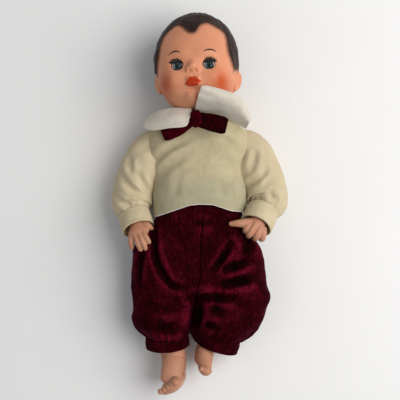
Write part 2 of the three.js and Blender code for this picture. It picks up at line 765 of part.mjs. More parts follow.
function makeSleeve(name) {
  const side = sides[name];
  const { point } = shoulder(side);
  const start = [point.x - side * 6, point.y, point.z, 1.1];
  const keys = [start, ...sleevePaths[name]].map(([x, y, z, size]) => {
    const width = sleeveHalfWidth * size;
    return [x, y, z, width, Math.min(width, z - floorCut / 2)];
  });
  const folds = (turn, place) => 1.1 * Math.sin(3 * turn + 9 * place) * Math.sin(Math.PI * place);
  const outer = limbRings(keys, 7, 18, { start: vector(side, 0, 0), folds });
  const inner = limbRings(keys, 7, 18, { start: vector(side, 0, 0), folds, inset: cloth });
  const tube = solid(skin([...outer, ...inner.reverse()], true));
  return layFlat(tube.intersect(sleeveSide(side, 0)));
}

function cuffTube(from, to, width, depth, count) {
  const rings = (inset) => limbRings(
    [[...from, width - 0.6, depth - 0.6], [...to, width, depth]], 1, count, { inset },
  );
  return skin([...rings(0), ...rings(cloth).reverse()], true);
}

function makeSleeveCuff(name) {
  const [top, bottom] = cuffPaths[name];
  const run = vector(...bottom).sub(vector(...top)).setLength(sleeveCuffHeight);
  const end = vector(...top).add(run).toArray();
  return cuffTube(top, end, sleeveCuffHalfWidth, sleeveCuffHalfWidth - 1.5, 20);
}

// Trousers: one gathered seat and two baggy legs, cut where each leg turns at its slanted hip face
function trouserShape(inset) {
  const back = (depth) => depth / 2 - floorCut;
  const lift = cloth + clearance + floorCut;
  const waistDepth = bodyDepth + 3.8;
  const seat = [
    [waistHeight, 0, back(waistDepth) + lift, bodyHalfWidth + 3.4, waistDepth / 2],
    [waistHeight - 17, 0, back(waistDepth + 1) + lift, bodyHalfWidth + 6.4, (waistDepth + 1) / 2],
    [waistHeight - 32, 0, back(trouserDepth - 1), bodyHalfWidth + 14, (trouserDepth - 1) / 2],
    [waistHeight - 58, 0, back(trouserDepth), trouserHalfWidth - 3, trouserDepth / 2],
    [hipHeight - 4, 0, back(trouserDepth), trouserHalfWidth, trouserDepth / 2],
    [hipHeight - 20, 0, back(trouserDepth - 2), trouserHalfWidth - 22, (trouserDepth - 2) / 2],
    [hipHeight - 32, 0, back(trouserDepth - 6), 30, (trouserDepth - 6) / 2],
  ];
  const pleats = (turn, place) => {
    const fade = 1 - THREE.MathUtils.smoothstep(place, 0.3, 0.95);
    return 1.6 * THREE.MathUtils.smoothstep(place, 0.2, 0.45) * fade * Math.sin(8 * turn);
  };
  return solid(skin(bodyRings(seat, 7, 30, { inset, folds: pleats, power: 2.3 })));
}

const trouserCuffs = {
  right: [[-39.5, -162, 29], [-38.5, -180, 28.5]],
  left: [[22, -164, 29], [19.2, -181, 28]],
};

const trouserLegKeys = {
  right: [
    [-38, -44, 24], [-44, -72, 33.5], [-44.5, -104, 35.5], [-45, -134, 36], [-45, -152, 34],
  ],
  left: [
    [38, -44, 24], [42.5, -72, 35], [37.5, -104, 43], [37, -132, 43.5], [31, -154, 37],
  ],
};

function trouserLegShape(name, inset) {
  const keys = trouserLegKeys[name].map(([x, y, width], i) => {
    const depth = (trouserDepth - [4, 1, 0, 0, 4][i]) / 2;
    return [y, x, depth - floorCut, width, depth];
  });
  const [cuffX, cuffY, cuffZ] = trouserCuffs[name][0];
  const ease = cloth + 2 * clearance;
  keys.push([cuffY - 1.5, cuffX, cuffZ, trouserCuffHalfWidth + ease, trouserCuffHalfDepth + ease]);
  const folds = (turn, place) => 1.6 * Math.sin(5 * turn + 2 * place) * Math.sin(Math.PI * place) ** 2;
  return solid(skin(bodyRings(keys, 6, 22, { inset, folds, power: 2.3 })));
}

function makeTrouserSeat() {
  const legs = Object.keys(sides);
  let outer = trouserShape(0);
  let inner = trouserShape(cloth);
  legs.forEach((name) => {
    outer = outer.add(trouserLegShape(name, 0));
    inner = inner.add(trouserLegShape(name, cloth));
  });
  let seat = outer.subtract(inner);
  legs.forEach((name) => {
    const { point, axis } = hip(sides[name]);
    seat = seat.subtract(beyond(point.clone().addScaledVector(axis, -clearance / 2), axis));
  });
  return layFlat(seat.subtract(waistOpening()));
}

function waistOpening() {
  return rod(bodyHalfWidth - 8, waistHeight - 4, waistHeight + 4, 20, vector(0, 0, hipRise), vector(0, 1, 0));
}

function makeTrouserLeg(name) {
  const { point, axis } = hip(sides[name]);
  const outer = trouserShape(0).add(trouserLegShape(name, 0));
  const inner = trouserShape(cloth).add(trouserLegShape(name, cloth));
  const start = beyond(point.clone().addScaledVector(axis, clearance / 2), axis);
  return layFlat(outer.subtract(inner).intersect(start));
}

function makeTrouserCuff(name) {
  const [top, bottom] = trouserCuffs[name];
  const run = vector(...bottom).sub(vector(...top)).setLength(trouserCuffHeight);
  const end = vector(...top).add(run).toArray();
  return cuffTube(top, end, trouserCuffHalfWidth, trouserCuffHalfDepth, 22);
}

// Collars: each a sheet between a sewn edge and a free edge. The left one has flipped up against the chin.
// The middle number is the height over the neck.
const collarEdges = {
  right: {
    sewn: [[-12, 3, 75.6], [-28, 4, 71.6], [-46, 2, 63.6], [-57, -3, 57.1]],
    free: [[-15, -14.5, 86], [-33, -15, 83.5], [-54, -17, 75], [-65, -11.5, 65]],
  },
  left: {
    sewn: [[-3, 4, 75.8], [18, 3, 75.8], [38, -4, 72], [52, -11.5, 65.6]],
    free: [[3, 30.5, 114], [27, 25, 107], [47, 17.5, 93], [58.5, -1, 76]],
  },
};

function makeCollar(name) {
  const { sewn, free } = collarEdges[name];
  const puff = { right: 2.8, left: 9 }[name];
  const surface = (u, v) => {
    const low = vector(...along(sewn, THREE.MathUtils.clamp(u, 0, 1)));
    const high = vector(...along(free, THREE.MathUtils.clamp(u, 0, 1)));
    const lift = vector(0, neckHeight, puff * Math.sin(Math.PI * v));
    return low.lerp(high, v).add(lift);
  };
  return sheet(surface, 8, 4, cloth);
}

// Bow tie: a round knot and two ribbon loops that leave it and come back
const bowKnot = vector(-4.4, neckHeight - 5.6, 82.6);
const knotHalfSize = vector(6.8, 9.9, 5.6);
// How far each loop reaches from the knot, and how far its end opens. The right one lies under the collar.
const bowLoops = {
  right: { reach: vector(-40, -14, -16), open: 2 },
  left: { reach: vector(35, -6, 2.4), open: 4.4 },
};

function makeKnot() {
  const knot = new THREE.SphereGeometry(1, 12, 8).scale(...knotHalfSize);
  return knot.translate(bowKnot.x, bowKnot.y, bowKnot.z);
}

function makeBowLoop(name) {
  const side = sides[name];
  const { reach, open: endOpen } = bowLoops[name];
  const length = reach.length();
  const out = reach.clone().normalize();
  const across = vector(0, 0, 1).cross(out).normalize();
  const up = out.clone().cross(across);
  const count = 22;
  const rootReach = 1 / out.clone().divide(knotHalfSize).length() + ribbon / 2 + 2 * clearance;
  const root = bowKnot.clone().addScaledVector(out, rootReach);
  const rings = Array.from({ length: count }, (_, i) => {
    const turn = (2 * Math.PI * i) / count;
    const far = (1 - Math.cos(turn)) / 2;
    const open = (1.2 + endOpen * far) * Math.sin(turn);
    const half = (bowWidth / 2) * (0.45 + 0.55 * Math.sin((Math.PI / 2) * Math.min(1, 1.4 * far)));
    const middle = root.clone().addScaledVector(out, far * (length - rootReach)).addScaledVector(up, open);
    const normal = out.clone().multiplyScalar(-Math.cos(turn)).addScaledVector(up, Math.sin(turn)).normalize();
    return [[-1, 0.5], [1, 0.5], [1, -0.5], [-1, -0.5]].map(([w, t]) => middle.clone()
      .addScaledVector(across, w * half * side)
      .addScaledVector(normal, t * ribbon));
  });
  return skin(rings, true);
}

// The scene graph
const doll = new THREE.Group();
const head = new THREE.Group();
const eyes = new THREE.Group();
head.position.copy(headPlace);
head.rotation.copy(headTurn);
eyes.position.set(0, eyeHeight, eyeDepth);
head.add(eyes);
doll.add(head);

function place(group, name, shape, colour, roughness, metalness = 0) {
  const geometry = shape.isBufferGeometry ? shape : geometryOf(shape);
  const material = new THREE.MeshStandardMaterial({ color: colours[colour], roughness, metalness });
  const mesh = new THREE.Mesh(geometry, material);
  mesh.name = name;
  group.add(mesh);
}

place(doll, 'body_shell', makeBody(), 'skin', 0.55);
place(doll, 'shirt_body', makeShirt(), 'cream', 0.95);
place(doll, 'trouser_seat', makeTrouserSeat(), 'velvet', 0.9);
place(doll, 'bow_knot', makeKnot(), 'velvet', 0.9);
place(head, 'head_shell', makeHead(), 'skin', 0.5);
place(eyes, 'eye_axle', makeAxle(), 'steel', 0.35, 1);
place(eyes, 'eye_weight', makeWeight(), 'lead', 0.6, 1);
Object.keys(sides).forEach((name) => {
  const side = sides[name];
  place(doll, `collar_${name}`, makeCollar(name), 'collar', 0.9);
  place(doll, `bow_loop_${name}`, makeBowLoop(name), 'velvet', 0.9);
  place(head, `eye_cup_${name}`, makeEyeCup(side), 'white', 0.6);
  place(eyes, `eyeball_${name}`, makeEyeball(side), 'white', 0.25);
  place(eyes, `iris_${name}`, makeIris(side), 'iris', 0.3);
  place(eyes, `lens_${name}`, makeLens(side), 'clear', 0.05);
  place(eyes, `eyelid_${name}`, makeEyelid(side), 'skin', 0.5);
  place(eyes, `lashes_${name}`, makeLashes(side), 'lash', 0.7);
  place(doll, `arm_${name}`, makeArm(name), 'skin', 0.55);
  place(doll, `sleeve_${name}`, makeSleeve(name), 'cream', 0.95);
  place(doll, `sleeve_cuff_${name}`, makeSleeveCuff(name), 'cream', 0.95);
  place(doll, `leg_${name}`, makeLeg(name), 'skin', 0.55);
  place(doll, `trouser_leg_${name}`, makeTrouserLeg(name), 'velvet', 0.9);
  place(doll, `trouser_cuff_${name}`, makeTrouserCuff(name), 'velvet', 0.9);
});

// The origin is on the floor under the middle of the doll's box.
doll.updateMatrixWorld(true);
const box = new THREE.Box3().setFromObject(doll, true);
doll.position.set(-(box.min.x + box.max.x) / 2, -(box.min.y + box.max.y) / 2, -box.min.z);

const part = new THREE.Group();
part.add(doll);

export default part;
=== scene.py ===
"""A vinyl baby doll on its back, in a cream shirt, velvet bow tie and velvet knickerbockers.

Sizes are in millimetres until they reach a mesh. +X is the doll's left, +Y its crown, +Z its front.
"""

import json
import math

import bpy
import numpy as np
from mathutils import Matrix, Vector, noise


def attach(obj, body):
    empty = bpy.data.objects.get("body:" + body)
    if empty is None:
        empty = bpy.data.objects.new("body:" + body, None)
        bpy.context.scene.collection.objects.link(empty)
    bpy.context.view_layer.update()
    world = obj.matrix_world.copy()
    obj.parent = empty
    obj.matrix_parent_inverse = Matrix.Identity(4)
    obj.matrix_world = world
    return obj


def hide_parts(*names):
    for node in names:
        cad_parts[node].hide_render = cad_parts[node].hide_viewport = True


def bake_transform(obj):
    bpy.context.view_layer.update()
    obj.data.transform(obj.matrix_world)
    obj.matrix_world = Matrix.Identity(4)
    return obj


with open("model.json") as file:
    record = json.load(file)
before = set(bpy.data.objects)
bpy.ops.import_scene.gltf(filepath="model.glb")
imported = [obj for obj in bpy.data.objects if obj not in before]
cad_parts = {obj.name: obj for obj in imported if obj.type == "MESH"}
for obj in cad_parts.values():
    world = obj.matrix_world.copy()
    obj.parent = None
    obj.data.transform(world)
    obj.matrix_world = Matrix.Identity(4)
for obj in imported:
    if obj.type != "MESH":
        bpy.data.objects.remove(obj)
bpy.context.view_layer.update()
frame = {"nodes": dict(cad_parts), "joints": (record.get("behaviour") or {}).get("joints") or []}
joints = {joint["name"]: joint for joint in frame["joints"]}

MM = 0.001
SIDES = {"right": -1, "left": 1}

# Shapes are set out in the doll's own frame, and moved by ORIGIN to where the shoulder joints are
SHOULDER_HEIGHT = 62
SHOULDER_DEPTH = 35
SHOULDERS = [np.array(joints[f"{name}_shoulder"]["pos_m"]) / MM for name in SIDES]
ORIGIN = sum(SHOULDERS) / 2 - [0, SHOULDER_HEIGHT, SHOULDER_DEPTH]

# Camera, straight above the doll
CAMERA_HEIGHT = 1200
CAMERA_LENS = 88.5
CAMERA_SENSOR = 36

# Head, in its own frame: x to the doll's left, y to the crown, z to the face
HEAD_HALF_WIDTH = 46.5
HEAD_CROWN = 53
HEAD_CHIN = 60.4
HEAD_FACE = 47
HEAD_BACK = 54
CROWN_ROUNDNESS = 2.05
JAW_ROUNDNESS = 2.75
HEAD_CUTS = 100
NOSE_TILT = math.radians(24)
HEAD_WALL = 3.8
FACE_WALL = 6
HAIR_RELIEF = 1.2
HAIR_COMBING = 0.22
HAIR_LOCKS = 0.9
NECK_BACK = -12
NECK_SEAT = -50
NECK_SEAT_RADIUS = 23
NECK_BORE_RADIUS = 14.3
EAR_LENGTH = 24
EAR_WIDTH = 15
EAR_THICKNESS = 8
EAR_DROP = 9
EAR_FLARE = 1.5
EAR_SINK = 1.6
EAR_DEPTH = -3
EAR_LEAN = math.radians(-10)
EAR_SWING = math.radians(-28)

# Sleep eyes
EYE_HALF_SPAN = 17.8
EYE_HEIGHT = -18.2
EYE_DEPTH = 36.2
EYEBALL_RADIUS = 7.8
IRIS_RADIUS = 5
IRIS_EDGE = IRIS_RADIUS - 0.1
RECESS_RADIUS = IRIS_RADIUS + 0.35
RECESS_FLOOR = 4.2
LID_INNER = 7.95
LID_OUTER = 8.25
LID_FRONT = 25
LID_BACK = 165
LID_HALF_SWING = 70
LASH_COUNT = 72
LASH_RADIUS = 0.4
LASH_LENGTH = 4.6
LASH_HALF_SWING = 50
SOCKET_RADIUS = 8.5
OPENING_HALF_WIDTH = 7.2
OPENING_HALF_HEIGHT = 6.3
OPENING_LIFT = 0.6
EYE_DIP = math.radians(7)

# Face landmarks, set out on the head
NOSE_HEIGHT = -21.3
MOUTH_HEIGHT = -36.9
HAIRLINE = [
    (-43.6, -30), (-42, -20), (-40.4, -11), (-38.4, -0.4), (-36.4, 10), (-32.2, 19), (-24.6, 26.2),
    (-18.4, 29.4), (-13.2, 27), (-8.2, 21.3), (-4.3, 17.8), (1, 16.8), (5.4, 18.6), (8.2, 24.4),
    (11.6, 28.6), (16.6, 30.2), (21.4, 28.2), (28.7, 24), (33.4, 20), (35.8, 14), (36.6, 5),
    (38.2, -4.2), (40.6, -11.6), (43.2, -20), (44.6, -30),
]
# The hair's lower edge behind the ears: depth, and height on the head
NAPE = [(-55, -40), (-30, -38), (-16, -24), (-6, -13), (6, -17), (20, -21)]
BROW_HALF_WIDTH = 0.95
BROWS = {
    "right": [(-27.9, -5), (-24.1, -3.2), (-19.9, -2.2), (-16.4, -2.7), (-13.2, -4.9)],
    "left": [(12.1, -4.7), (15.2, -2.7), (18.8, -1.9), (22.8, -2), (27.2, -4.3)],
}
BLUSH_WIDTH, BLUSH_HEIGHT = 8.8, 12.5
BLUSHES = {"right": (-33.6, -37.4), "left": (31.2, -37)}
LIP_TOP = [
    (-9.8, -2.4), (-6.7, 0.8), (-3.8, 4.2), (-1.9, 4.7), (0, 4), (1.9, 4.7), (3.9, 4.1), (6.4, 1.7),
    (9.4, -0.2),
]
LIP_BOTTOM = [(-9.8, -2.4), (-7.9, -4), (-5, -5.1), (-0.6, -5.5), (4.2, -4.7), (7, -2.6), (9.4, -0.2)]

# Forms of the face: height, place and spread across, place and spread up the head
NOSE_STAND, NOSE_RADIUS = 5.8, 5.9
CHIN_STAND, CHIN_RADIUS = 3.2, 6.6
CHIN_PLACE = (-3.5, -52.6)
MIDDLE_FORMS = {
    "nose bridge": (1.0, 0, 5.6, NOSE_HEIGHT + 7, 6),
    "mouth mound": (3.0, 0, 11, MOUTH_HEIGHT, 8),
    "groove over the lip": (-0.7, 0, 1.7, MOUTH_HEIGHT + 7.8, 2.6),
    "dip under the lip": (-2.0, -1, 9, MOUTH_HEIGHT - 8.2, 2.6),
    "jaw": (4.4, -2, 13, -56, 8),
}
PAIRED_FORMS = {
    "nose wings": (3.4, 6, 2.3, NOSE_HEIGHT - 2.8, 2.5),
    "nostrils": (-2.0, 3.5, 1.2, NOSE_HEIGHT - 4.6, 1.1),
    "cheeks": (4.2, 25, 12, MOUTH_HEIGHT + 3, 13),
    "brow ridges": (1.6, 15, 12, EYE_HEIGHT + 14, 6),
    "eye hollows": (-2.4, EYE_HALF_SPAN + 1, 8, EYE_HEIGHT + 1, 8),
}
LIP_HALF_WIDTH = 9.5

# Cloth thicknesses, and where the collars' edges are stitched
CLOTH = 1.5
COLLAR_CLOTH = 1.9
RIBBON = 0.9
STITCH_INSET = 2.6
STITCH_WIDTH = 0.4


# Small sums
def hump(offset, spread):
    return np.exp(-((np.asarray(offset, float) / spread) ** 2))


def ease(value, low, high):
    share = np.clip((np.asarray(value, float) - low) / (high - low), 0, 1)
    return share * share * (3 - 2 * share)


def mix(a, b, share):
    return a + (b - a) * share


def signed_power(value, power):
    return np.sign(value) * np.abs(value) ** power


def unit(vectors):
    vectors = np.asarray(vectors, float)
    return vectors / np.linalg.norm(vectors, axis=-1, keepdims=True)


def tilted(points, angle):
    """Turns points about x."""
    x, y, z = np.asarray(points).T
    cos, sin = math.cos(angle), math.sin(angle)
    return np.stack([x, y * cos - z * sin, y * sin + z * cos], axis=1)


def swung(points, angle):
    """Turns points about y."""
    x, y, z = np.asarray(points).T
    cos, sin = math.cos(angle), math.sin(angle)
    return np.stack([x * cos + z * sin, y, z * cos - x * sin], axis=1)


def spline(keys, share):
    """Points of a smooth curve through rows of numbers, for shares from 0 to 1."""
    keys = np.asarray(keys, float)
    spans = len(keys) - 1
    place = np.clip(np.asarray(share, float), 0, 1) * spans
    first = np.minimum(place.astype(int), spans - 1)
    f = (place - first)[..., None]
    a, b, c, d = (keys[np.clip(first + n, 0, spans)] for n in (-1, 0, 1, 2))
    return b + 0.5 * f * (c - a + f * (2 * a - 5 * b + 4 * c - d + f * (3 * (b - c) + d - a)))


def line_distance(x, y, path):
    """Each point's distance from a line of points, and the share of the line where it is nearest."""
    path = np.asarray(path, float)
    steps = np.diff(path, axis=0)
    lengths = np.linalg.norm(steps, axis=1)
    starts = np.concatenate([[0], np.cumsum(lengths)])
    nearest = np.full(np.shape(x), 1e9)
    share = np.zeros(np.shape(x))
    for (px, py), (sx, sy), length, start in zip(path, steps, lengths, starts):
        t = np.clip(((x - px) * sx + (y - py) * sy) / length**2, 0, 1)
        distance = np.hypot(x - px - t * sx, y - py - t * sy)
        closer = distance < nearest
        nearest = np.where(closer, distance, nearest)
        share = np.where(closer, (start + t * length) / starts[-1], share)
    return nearest, share


def inside(x, y, outline):
    """True for each point inside a closed outline."""
    within = np.zeros(np.shape(x), bool)
    for (ax, ay), (bx, by) in zip(outline, outline[1:] + outline[:1]):
        if ay == by:
            continue
        crosses = ((ay > y) != (by > y)) & (x < ax + (y - ay) * (bx - ax) / (by - ay))
        within ^= crosses
    return within


def grain(points, size, seed):
    """Smooth random values from about -1 to 1, with lumps of the given size."""
    offset = Vector((seed * 7.3, seed * 3.1, seed * 5.7))
    return np.array([noise.noise(Vector(p) / size + offset) for p in points])


# Mesh handling
def select_only(piece):
    bpy.ops.object.select_all(action="DESELECT")
    piece.select_set(True)
    bpy.context.view_layer.objects.active = piece


def points_of(piece):
    values = np.empty(len(piece.data.vertices) * 3)
    piece.data.vertices.foreach_get("co", values)
    return values.reshape(-1, 3) / MM


def set_points(piece, points):
    piece.data.vertices.foreach_set("co", (np.asarray(points) * MM).ravel())
    piece.data.update()


def normals_of(piece):
    values = np.empty(len(piece.data.vertices) * 3)
    piece.data.vertex_normals.foreach_get("vector", values)
    return values.reshape(-1, 3)


def named(piece, name):
    piece.name = piece.data.name = name
    return piece


def new_shape(name, kind, **settings):
    """One of Blender's plain shapes, by its kind."""
    bpy.ops.object.select_all(action="DESELECT")
    getattr(bpy.ops.mesh, f"primitive_{kind}_add")(**settings)
    return named(bpy.context.object, name)


def new_grid(name, across, along):
    """A flat grid, with its shares across and along as two lists."""
    piece = new_shape(name, "grid", x_subdivisions=across, y_subdivisions=along, size=2 * MM)
    flat = np.clip((points_of(piece) + 1) / 2, 0, 1)
    return piece, flat[:, 0], flat[:, 1]


def new_ball(name, segments, rings, radius=1.0):
    return new_shape(name, "uv_sphere", segments=segments, ring_count=rings, radius=radius * MM)


def edit(piece, *steps):
    """Runs edit-mode operators on the whole of a piece."""
    select_only(piece)
    bpy.ops.object.mode_set(mode="EDIT")
    bpy.ops.mesh.select_all(action="SELECT")
    for step in steps:
        step()
    bpy.ops.object.mode_set(mode="OBJECT")
    return piece


def weld(piece):
    return edit(
        piece,
        lambda: bpy.ops.mesh.remove_doubles(threshold=2e-6),
        lambda: bpy.ops.mesh.normals_make_consistent(inside=False),
    )


def cap(piece):
    """Closes the open ends of a tube."""
    return edit(
        piece,
        lambda: bpy.ops.mesh.select_all(action="DESELECT"),
        lambda: bpy.ops.mesh.select_non_manifold(),
        lambda: bpy.ops.mesh.fill_holes(sides=0),
        lambda: bpy.ops.mesh.select_all(action="SELECT"),
        lambda: bpy.ops.mesh.normals_make_consistent(inside=False),
    )


def apply_modifier(piece, kind, **settings):
    select_only(piece)
    modifier = piece.modifiers.new(kind.lower(), kind)
    for key, value in settings.items():
        setattr(modifier, key, value)
    bpy.ops.object.modifier_apply(modifier=modifier.name)


def joined(name, pieces):
    select_only(pieces[0])
    for piece in pieces:
        piece.select_set(True)
    bpy.ops.object.join()
    return named(bpy.context.object, name)


def boolean(piece, operation, *tools):
    for tool in tools:
        apply_modifier(piece, "BOOLEAN", object=tool, operation=operation, solver="EXACT")
        bpy.data.objects.remove(tool, do_unlink=True)


def smooth_shade(piece):
    select_only(piece)
    bpy.ops.object.shade_smooth()
    return piece


def paint_values(piece, name, values):
    """Keeps one number for each vertex, for a material to read."""
    layer = piece.data.attributes.new(name, "FLOAT", "POINT")
    layer.data.foreach_set("value", np.asarray(values, np.float32))


def values_of(piece, name):
    values = np.empty(len(piece.data.vertices), np.float32)
    piece.data.attributes[name].data.foreach_get("value", values)
    return values


def push(piece, amount):
    """Moves each point along its normal."""
    set_points(piece, points_of(piece) + normals_of(piece) * np.asarray(amount)[:, None])


def press_flat(piece):
    """What lies on the floor is flat there."""
    points = points_of(piece)
    points[:, 2] = np.maximum(points[:, 2], 0)
    set_points(piece, points)


# Node handling
def put(tree, kind, inputs=None, **settings):
    """Adds a node, sets its options and sets or links its inputs."""
    node = tree.nodes.new(kind)
    for key, value in settings.items():
        setattr(node, key, value)
    for key, value in (inputs or {}).items():
        if isinstance(value, bpy.types.NodeSocket):
            tree.links.new(value, node.inputs[key])
        else:
            node.inputs[key].default_value = value
    return node


def sum_of(tree, operation, a, b):
    return put(tree, "ShaderNodeMath", {0: a, 1: b}, operation=operation).outputs[0]


def weighted(tree, a, weight_a, b, weight_b):
    """The sum of two values, each times its weight."""
    first = sum_of(tree, "MULTIPLY", a, weight_a)
    return sum_of(tree, "ADD", first, sum_of(tree, "MULTIPLY", b, weight_b))


def ramp(tree, value, low, high, start=0.0, end=1.0):
    """A soft step from start to end as the value goes from low to high."""
    inputs = {"Value": value, "From Min": low, "From Max": high, "To Min": start, "To Max": end}
    return put(tree, "ShaderNodeMapRange", inputs, interpolation_type="SMOOTHSTEP").outputs[0]


def blend_colour(tree, share, a, b, mode="MIX"):
    node = put(tree, "ShaderNodeMix", {0: share}, data_type="RGBA", blend_type=mode)
    for socket, value in ((node.inputs[6], a), (node.inputs[7], b)):
        if isinstance(value, bpy.types.NodeSocket):
            tree.links.new(value, socket)
        else:
            socket.default_value = (*value, 1)
    return node.outputs[2]


def object_place(tree):
    return put(tree, "ShaderNodeTexCoord").outputs["Object"]


def attribute(tree, name):
    return put(tree, "ShaderNodeAttribute", attribute_name=name).outputs["Fac"]


def noise_value(tree, place, scale, detail=3.0, roughness=0.55, distortion=0.0):
    inputs = {"Vector": place, "Scale": scale, "Detail": detail, "Roughness": roughness}
    return put(tree, "ShaderNodeTexNoise", inputs | {"Distortion": distortion}).outputs[0]


def new_group(name, inputs, outputs):
    """A node group with plain number inputs, and outputs by socket kind."""
    tree = bpy.data.node_groups.new(name, "ShaderNodeTree")
    for key, value in inputs.items():
        socket = tree.interface.new_socket(key, in_out="INPUT", socket_type="NodeSocketFloat")
        socket.default_value = value
    for key, kind in outputs.items():
        tree.interface.new_socket(key, in_out="OUTPUT", socket_type=kind)
    return tree, tree.nodes.new("NodeGroupInput").outputs, tree.nodes.new("NodeGroupOutput").inputs


def new_material(name, **constants):
    """A material, its node tree and its shader, with the shader's constant values set."""
    material = bpy.data.materials.new(name)
    material.use_nodes = True
    tree = material.node_tree
    shader = tree.nodes["Principled BSDF"]
    for key, value in constants.items():
        shader.inputs[key.replace("_", " ").title().replace("Ior", "IOR")].default_value = value
    return material, tree, shader


def bump(tree, shader, height, strength, distance):
    inputs = {"Height": height, "Strength": strength, "Distance": distance}
    tree.links.new(put(tree, "ShaderNodeBump", inputs).outputs[0], shader.inputs["Normal"])


def worn(piece, material):
    piece.data.materials.clear()
    piece.data.materials.append(material)
    return piece


# Finishes shared by several materials
def make_nap():
    """Pile of a brushed cloth: how the pile leans, and how high it stands."""
    tree, given, out = new_group(
        "cloth_nap",
        {"Lean Size": 60.0, "Pile Size": 900.0},
        {"Lean": "NodeSocketFloat", "Height": "NodeSocketFloat"},
    )
    place = object_place(tree)
    pile_lean_and_fold_shade = noise_value(tree, place, given["Lean Size"], 4.0, 0.6, 0.8)
    pile = noise_value(tree, place, given["Pile Size"], 2.0, 0.6)
    tree.links.new(pile_lean_and_fold_shade, out["Lean"])
    tree.links.new(weighted(tree, pile, 0.6, pile_lean_and_fold_shade, 0.4), out["Height"])
    return tree


def make_moulding():
    """Faint unevenness of old moulded vinyl: a mottle, and a fine skin."""
    tree, given, out = new_group(
        "vinyl_moulding",
        {"Mottle Size": 45.0},
        {"Mottle": "NodeSocketFloat", "Height": "NodeSocketFloat"},
    )
    place = object_place(tree)
    mottle = noise_value(tree, place, given["Mottle Size"], 4.0, 0.6)
    skin = noise_value(tree, place, 1400.0, 2.0, 0.5)
    tree.links.new(mottle, out["Mottle"])
    tree.links.new(weighted(tree, mottle, 0.7, skin, 0.3), out["Height"])
    return tree


def use_group(tree, group, **values):
    node = put(tree, "ShaderNodeGroup", node_tree=group)
    for key, value in values.items():
        node.inputs[key.replace("_", " ").title()].default_value = value
    return node.outputs


nap = make_nap()
moulding = make_moulding()

SKIN = (0.77, 0.325, 0.180)
SKIN_DEEP = (0.65, 0.250, 0.128)
# The limbs' vinyl is darker than the head's: part grime, part painted shade
LIMB = (0.55, 0.262, 0.160)
LIMB_DEEP = (0.46, 0.205, 0.120)
HAIR = (0.028, 0.0155, 0.014)
HAIR_PALE = (0.047, 0.028, 0.024)
LIPS = (0.50, 0.040, 0.003)
BLUSH = (0.53, 0.080, 0.012)
BROW = (0.045, 0.016, 0.009)
IRIS_DEEP = (0.009, 0.026, 0.032)
IRIS_PALE = (0.040, 0.085, 0.098)
IRIS_RIM = (0.004, 0.010, 0.014)
PUPIL = (0.001, 0.001, 0.001)
CREAM = (0.64, 0.545, 0.370)
CREAM_DEEP = (0.58, 0.475, 0.308)
CREAM_FRONT = (0.56, 0.485, 0.318)
CREAM_FRONT_DEEP = (0.50, 0.420, 0.264)
CREAM_GREYED = (0.84, 0.90, 0.93)
HEM_PALE = (0.80, 0.76, 0.70)
STITCHES = (0.42, 0.38, 0.30)


def skin_material(name, dark, light, painted=False):
    """Vinyl. The head's is painted with hair, brows, lips and blush."""
    material, tree, shader = new_material(name, roughness=0.48, specular_ior_level=0.32)
    cast = use_group(tree, moulding)
    colour = blend_colour(tree, ramp(tree, cast["Mottle"], 0.3, 0.75), dark, light)
    colour = blend_colour(tree, 0.5, colour, light)
    if painted:
        spray = noise_value(tree, object_place(tree), 260.0, 3.0, 0.6)
        colour = blend_colour(tree, attribute(tree, "blush"), colour, BLUSH)
        lips = ramp(tree, attribute(tree, "lips"), -0.35, 0.45)
        colour = blend_colour(tree, lips, colour, LIPS)
        brow = ramp(tree, attribute(tree, "brow"), -0.25, 0.3)
        colour = blend_colour(tree, brow, colour, BROW)
        edge = sum_of(tree, "ADD", attribute(tree, "hair"), sum_of(tree, "MULTIPLY", spray, 2.0))
        hair = ramp(tree, edge, -1.4, 4.4)
        shade = blend_colour(tree, ramp(tree, spray, 0.3, 0.7), HAIR, HAIR_PALE)
        colour = blend_colour(tree, hair, colour, shade)
        tree.links.new(ramp(tree, hair, 0, 1, 0.32, 0.06), shader.inputs["Specular IOR Level"])
    tree.links.new(colour, shader.inputs["Base Color"])
    bump(tree, shader, cast["Height"], 0.12, 0.0006)
    return material


def cloth_material(name, dark, light, lean_size, pile_size, depth, greyed=False, stitched=False):
    """Brushed cloth. The shirt's front greys towards a pale cut hem, and a collar's edge is stitched."""
    material, tree, shader = new_material(
        name, roughness=0.95, specular_ior_level=0.05, sheen_weight=0.12, sheen_roughness=0.4,
        sheen_tint=(1, 0.97, 0.88, 1),
    )
    pile = use_group(tree, nap, lean_size=lean_size, pile_size=pile_size)
    colour = blend_colour(tree, ramp(tree, pile["Lean"], 0.25, 0.75), dark, light)
    height = pile["Height"]
    if greyed:
        place = put(tree, "ShaderNodeSeparateXYZ", {0: object_place(tree)}).outputs[1]
        wander = sum_of(tree, "MULTIPLY", pile["Lean"], 0.006)
        below = ramp(tree, sum_of(tree, "ADD", place, wander), 0.040, 0.020)
        colour = blend_colour(tree, below, colour, CREAM_GREYED, "MULTIPLY")
        frayed = sum_of(tree, "ADD", attribute(tree, "hem"), pile["Height"])
        colour = blend_colour(tree, ramp(tree, frayed, 1.9, 1.3), colour, HEM_PALE)
    if stitched:
        from_edge = attribute(tree, "edge")
        outer = ramp(tree, from_edge, STITCH_INSET - STITCH_WIDTH, STITCH_INSET)
        inner = ramp(tree, from_edge, STITCH_INSET + STITCH_WIDTH, STITCH_INSET)
        groove = sum_of(tree, "MULTIPLY", outer, inner)
        colour = blend_colour(tree, sum_of(tree, "MULTIPLY", groove, 0.45), colour, STITCHES)
        height = sum_of(tree, "SUBTRACT", height, sum_of(tree, "MULTIPLY", groove, 0.8))
    tree.links.new(colour, shader.inputs["Base Color"])
    bump(tree, shader, height, 0.5, depth)
    return material


